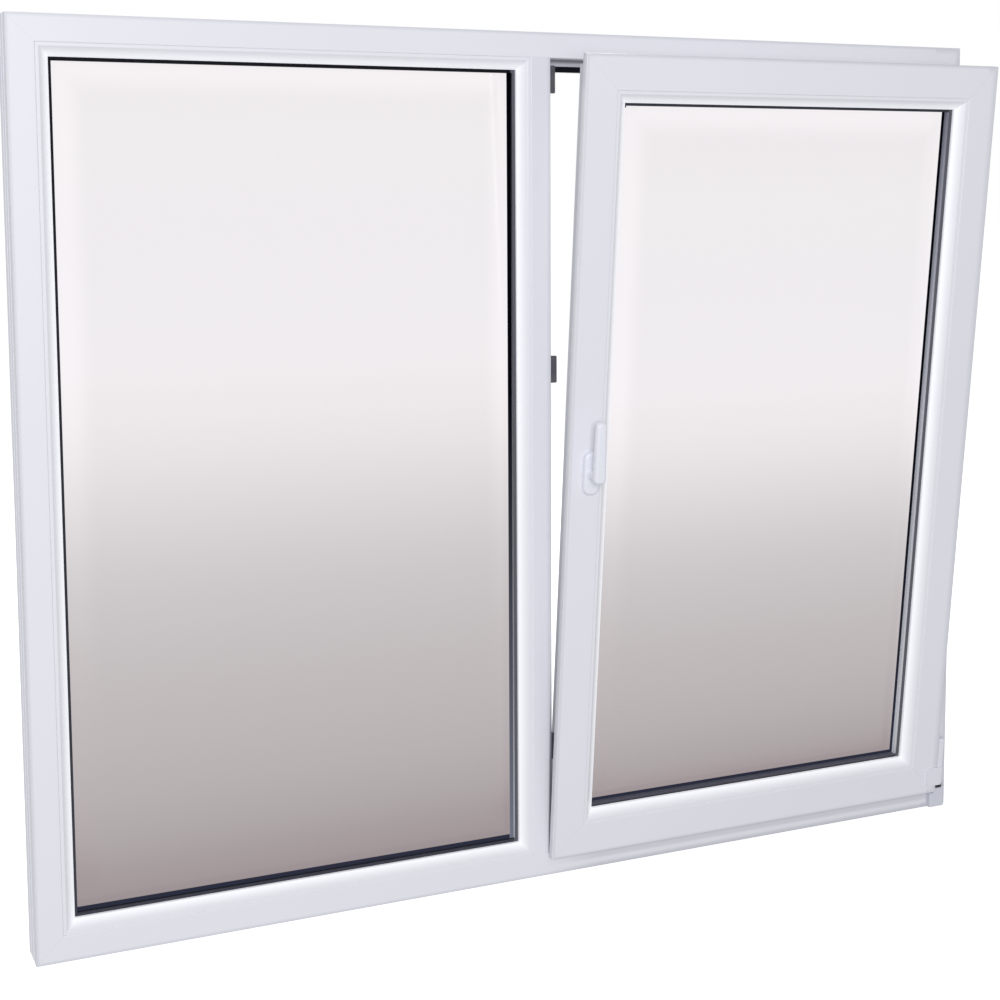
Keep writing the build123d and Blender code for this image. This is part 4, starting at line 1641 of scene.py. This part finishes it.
@dataclass(frozen=True)
class Viewpoint:
    """The photograph's camera.

    Attributes:
        position: Where it stands.
        forward: Where it looks.
        above: Its upward direction.
        lens: Focal length in millimetres.
        sensor: Width of the sensor in millimetres.
        shift: Sideways and upward shift of the picture.
        clip: Nearest and farthest distance that it sees.
    """

    position: Triple = (-1.2349, -2.8734, 1.2209)
    forward: Triple = (0.4401, 0.89118, -0.1100)
    above: Triple = (0.04638, 0.09978, 0.99393)
    lens: float = 66.218
    sensor: float = 36.0
    shift: Pair = (-0.130, -0.125)
    clip: Pair = (0.05, 200.0)

    def build(self) -> bpy.types.Object:
        """Makes the camera and lets the scene look through it.

        Returns:
            The camera.
        """
        data = bpy.data.cameras.new("camera")
        data.sensor_width = self.sensor
        data.lens = self.lens
        data.shift_x, data.shift_y = self.shift
        data.clip_start, data.clip_end = self.clip
        back = -Vector(self.forward).normalized()
        right = Vector(self.above).cross(back).normalized()
        turn = Matrix((right, back.cross(right), back)).transposed().to_4x4()
        camera = bpy.data.objects.new("camera", data)
        camera.matrix_world = Matrix.Translation(self.position) @ turn
        bpy.context.scene.collection.objects.link(camera)
        bpy.context.scene.camera = camera
        return camera


@dataclass(frozen=True)
class Softbox:
    """A square soft lamp.

    Attributes:
        name: Its name.
        position: Where it hangs.
        target: Where it points.
        size: Side of its square.
        power: Watts.
        colour: Colour of its light.
    """

    name: str
    position: Triple
    target: Triple
    size: float
    power: float
    colour: Triple = (1.0, 1.0, 1.0)

    def build(self) -> bpy.types.Object:
        """Hangs the lamp.

        Returns:
            The lamp.
        """
        data = bpy.data.lights.new(self.name, "AREA")
        data.shape = "SQUARE"
        data.size = self.size
        data.energy = self.power
        data.color = self.colour
        lamp = bpy.data.objects.new(self.name, data)
        lamp.matrix_world = towards(self.position, Vector(self.position) - Vector(self.target))
        bpy.context.scene.collection.objects.link(lamp)
        return lamp


@dataclass
class Studio:
    """White floor, white surroundings and soft lamps.

    Attributes:
        floor_radius: Radius of the floor.
        floor_level: Height of the floor, just under the sill.
        ambient: Light of the surroundings; the camera itself sees them at full white.
        lamps: The soft lamps.
    """

    floor_radius: float = 40.0
    floor_level: float = -0.0006
    ambient: float = 0.45
    lamps: tuple[Softbox, ...] = (
        Softbox("lamp_key", (-2.0, -5.6, 1.9), (0.0, 0.0, 0.72), 2.6, 195.0),
        Softbox("lamp_rear", (1.0, 4.2, 3.0), (0.0, 0.0, 0.8), 2.4, 90.0),
    )

    def _floor(self) -> None:
        """Lays the floor, whose own light doesn't fall on the window."""
        mesh = bmesh.new()
        bmesh.ops.create_circle(mesh, cap_ends=True, segments=96, radius=self.floor_radius)
        data = bpy.data.meshes.new("floor")
        mesh.to_mesh(data)
        mesh.free()
        data.transform(Matrix.Translation((0.0, 0.0, self.floor_level)))
        data.materials.append(PaleFloor().material("floor_white"))
        floor = bpy.data.objects.new("floor", data)
        floor.visible_diffuse = False
        floor.visible_glossy = False
        bpy.context.scene.collection.objects.link(floor)

    def build(self) -> None:
        """Lays the floor, hangs the lamps and sets the surroundings."""
        self._floor()
        for lamp in self.lamps:
            lamp.build()
        world = Graph("surroundings", bpy.data.worlds)
        seen = world.node("ShaderNodeLightPath", output="Is Camera Ray")
        level = world.node("ShaderNodeMapRange", None, {"Value": seen, "To Min": self.ambient, "To Max": 1.0})
        backdrop = world.node("ShaderNodeBackground", None, {"Color": (1.0, 1.0, 1.0), "Strength": level})
        world.add("ShaderNodeOutputWorld", None, {"Surface": backdrop})
        bpy.context.scene.world = world.owner
        bpy.context.scene.view_settings.view_transform = "Standard"


def main() -> None:
    """Builds the window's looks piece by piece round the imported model."""
    logging.basicConfig(level=logging.INFO, format="%(name)s: %(message)s")
    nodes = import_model()["nodes"]
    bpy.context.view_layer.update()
    Viewpoint().build()
    palette = Palette()
    OuterFrame(palette).dress(nodes)
    Light(palette, "fixed", Leaf.FRAME).dress(nodes)
    Light(palette, "sash", Leaf.SASH).dress(nodes)
    sash = Sash(palette)
    sash.dress(nodes)
    sash.screws()
    keeps = Keeps(palette)
    keeps.dress(nodes)
    keeps.screws()
    handle = Handle(palette)
    handle.rosette()
    handle.lever()
    hinge = HingeSide(palette)
    hinge.dress(nodes)
    hinge.bush()
    Studio().build()


if __name__ == "__main__":
    main()
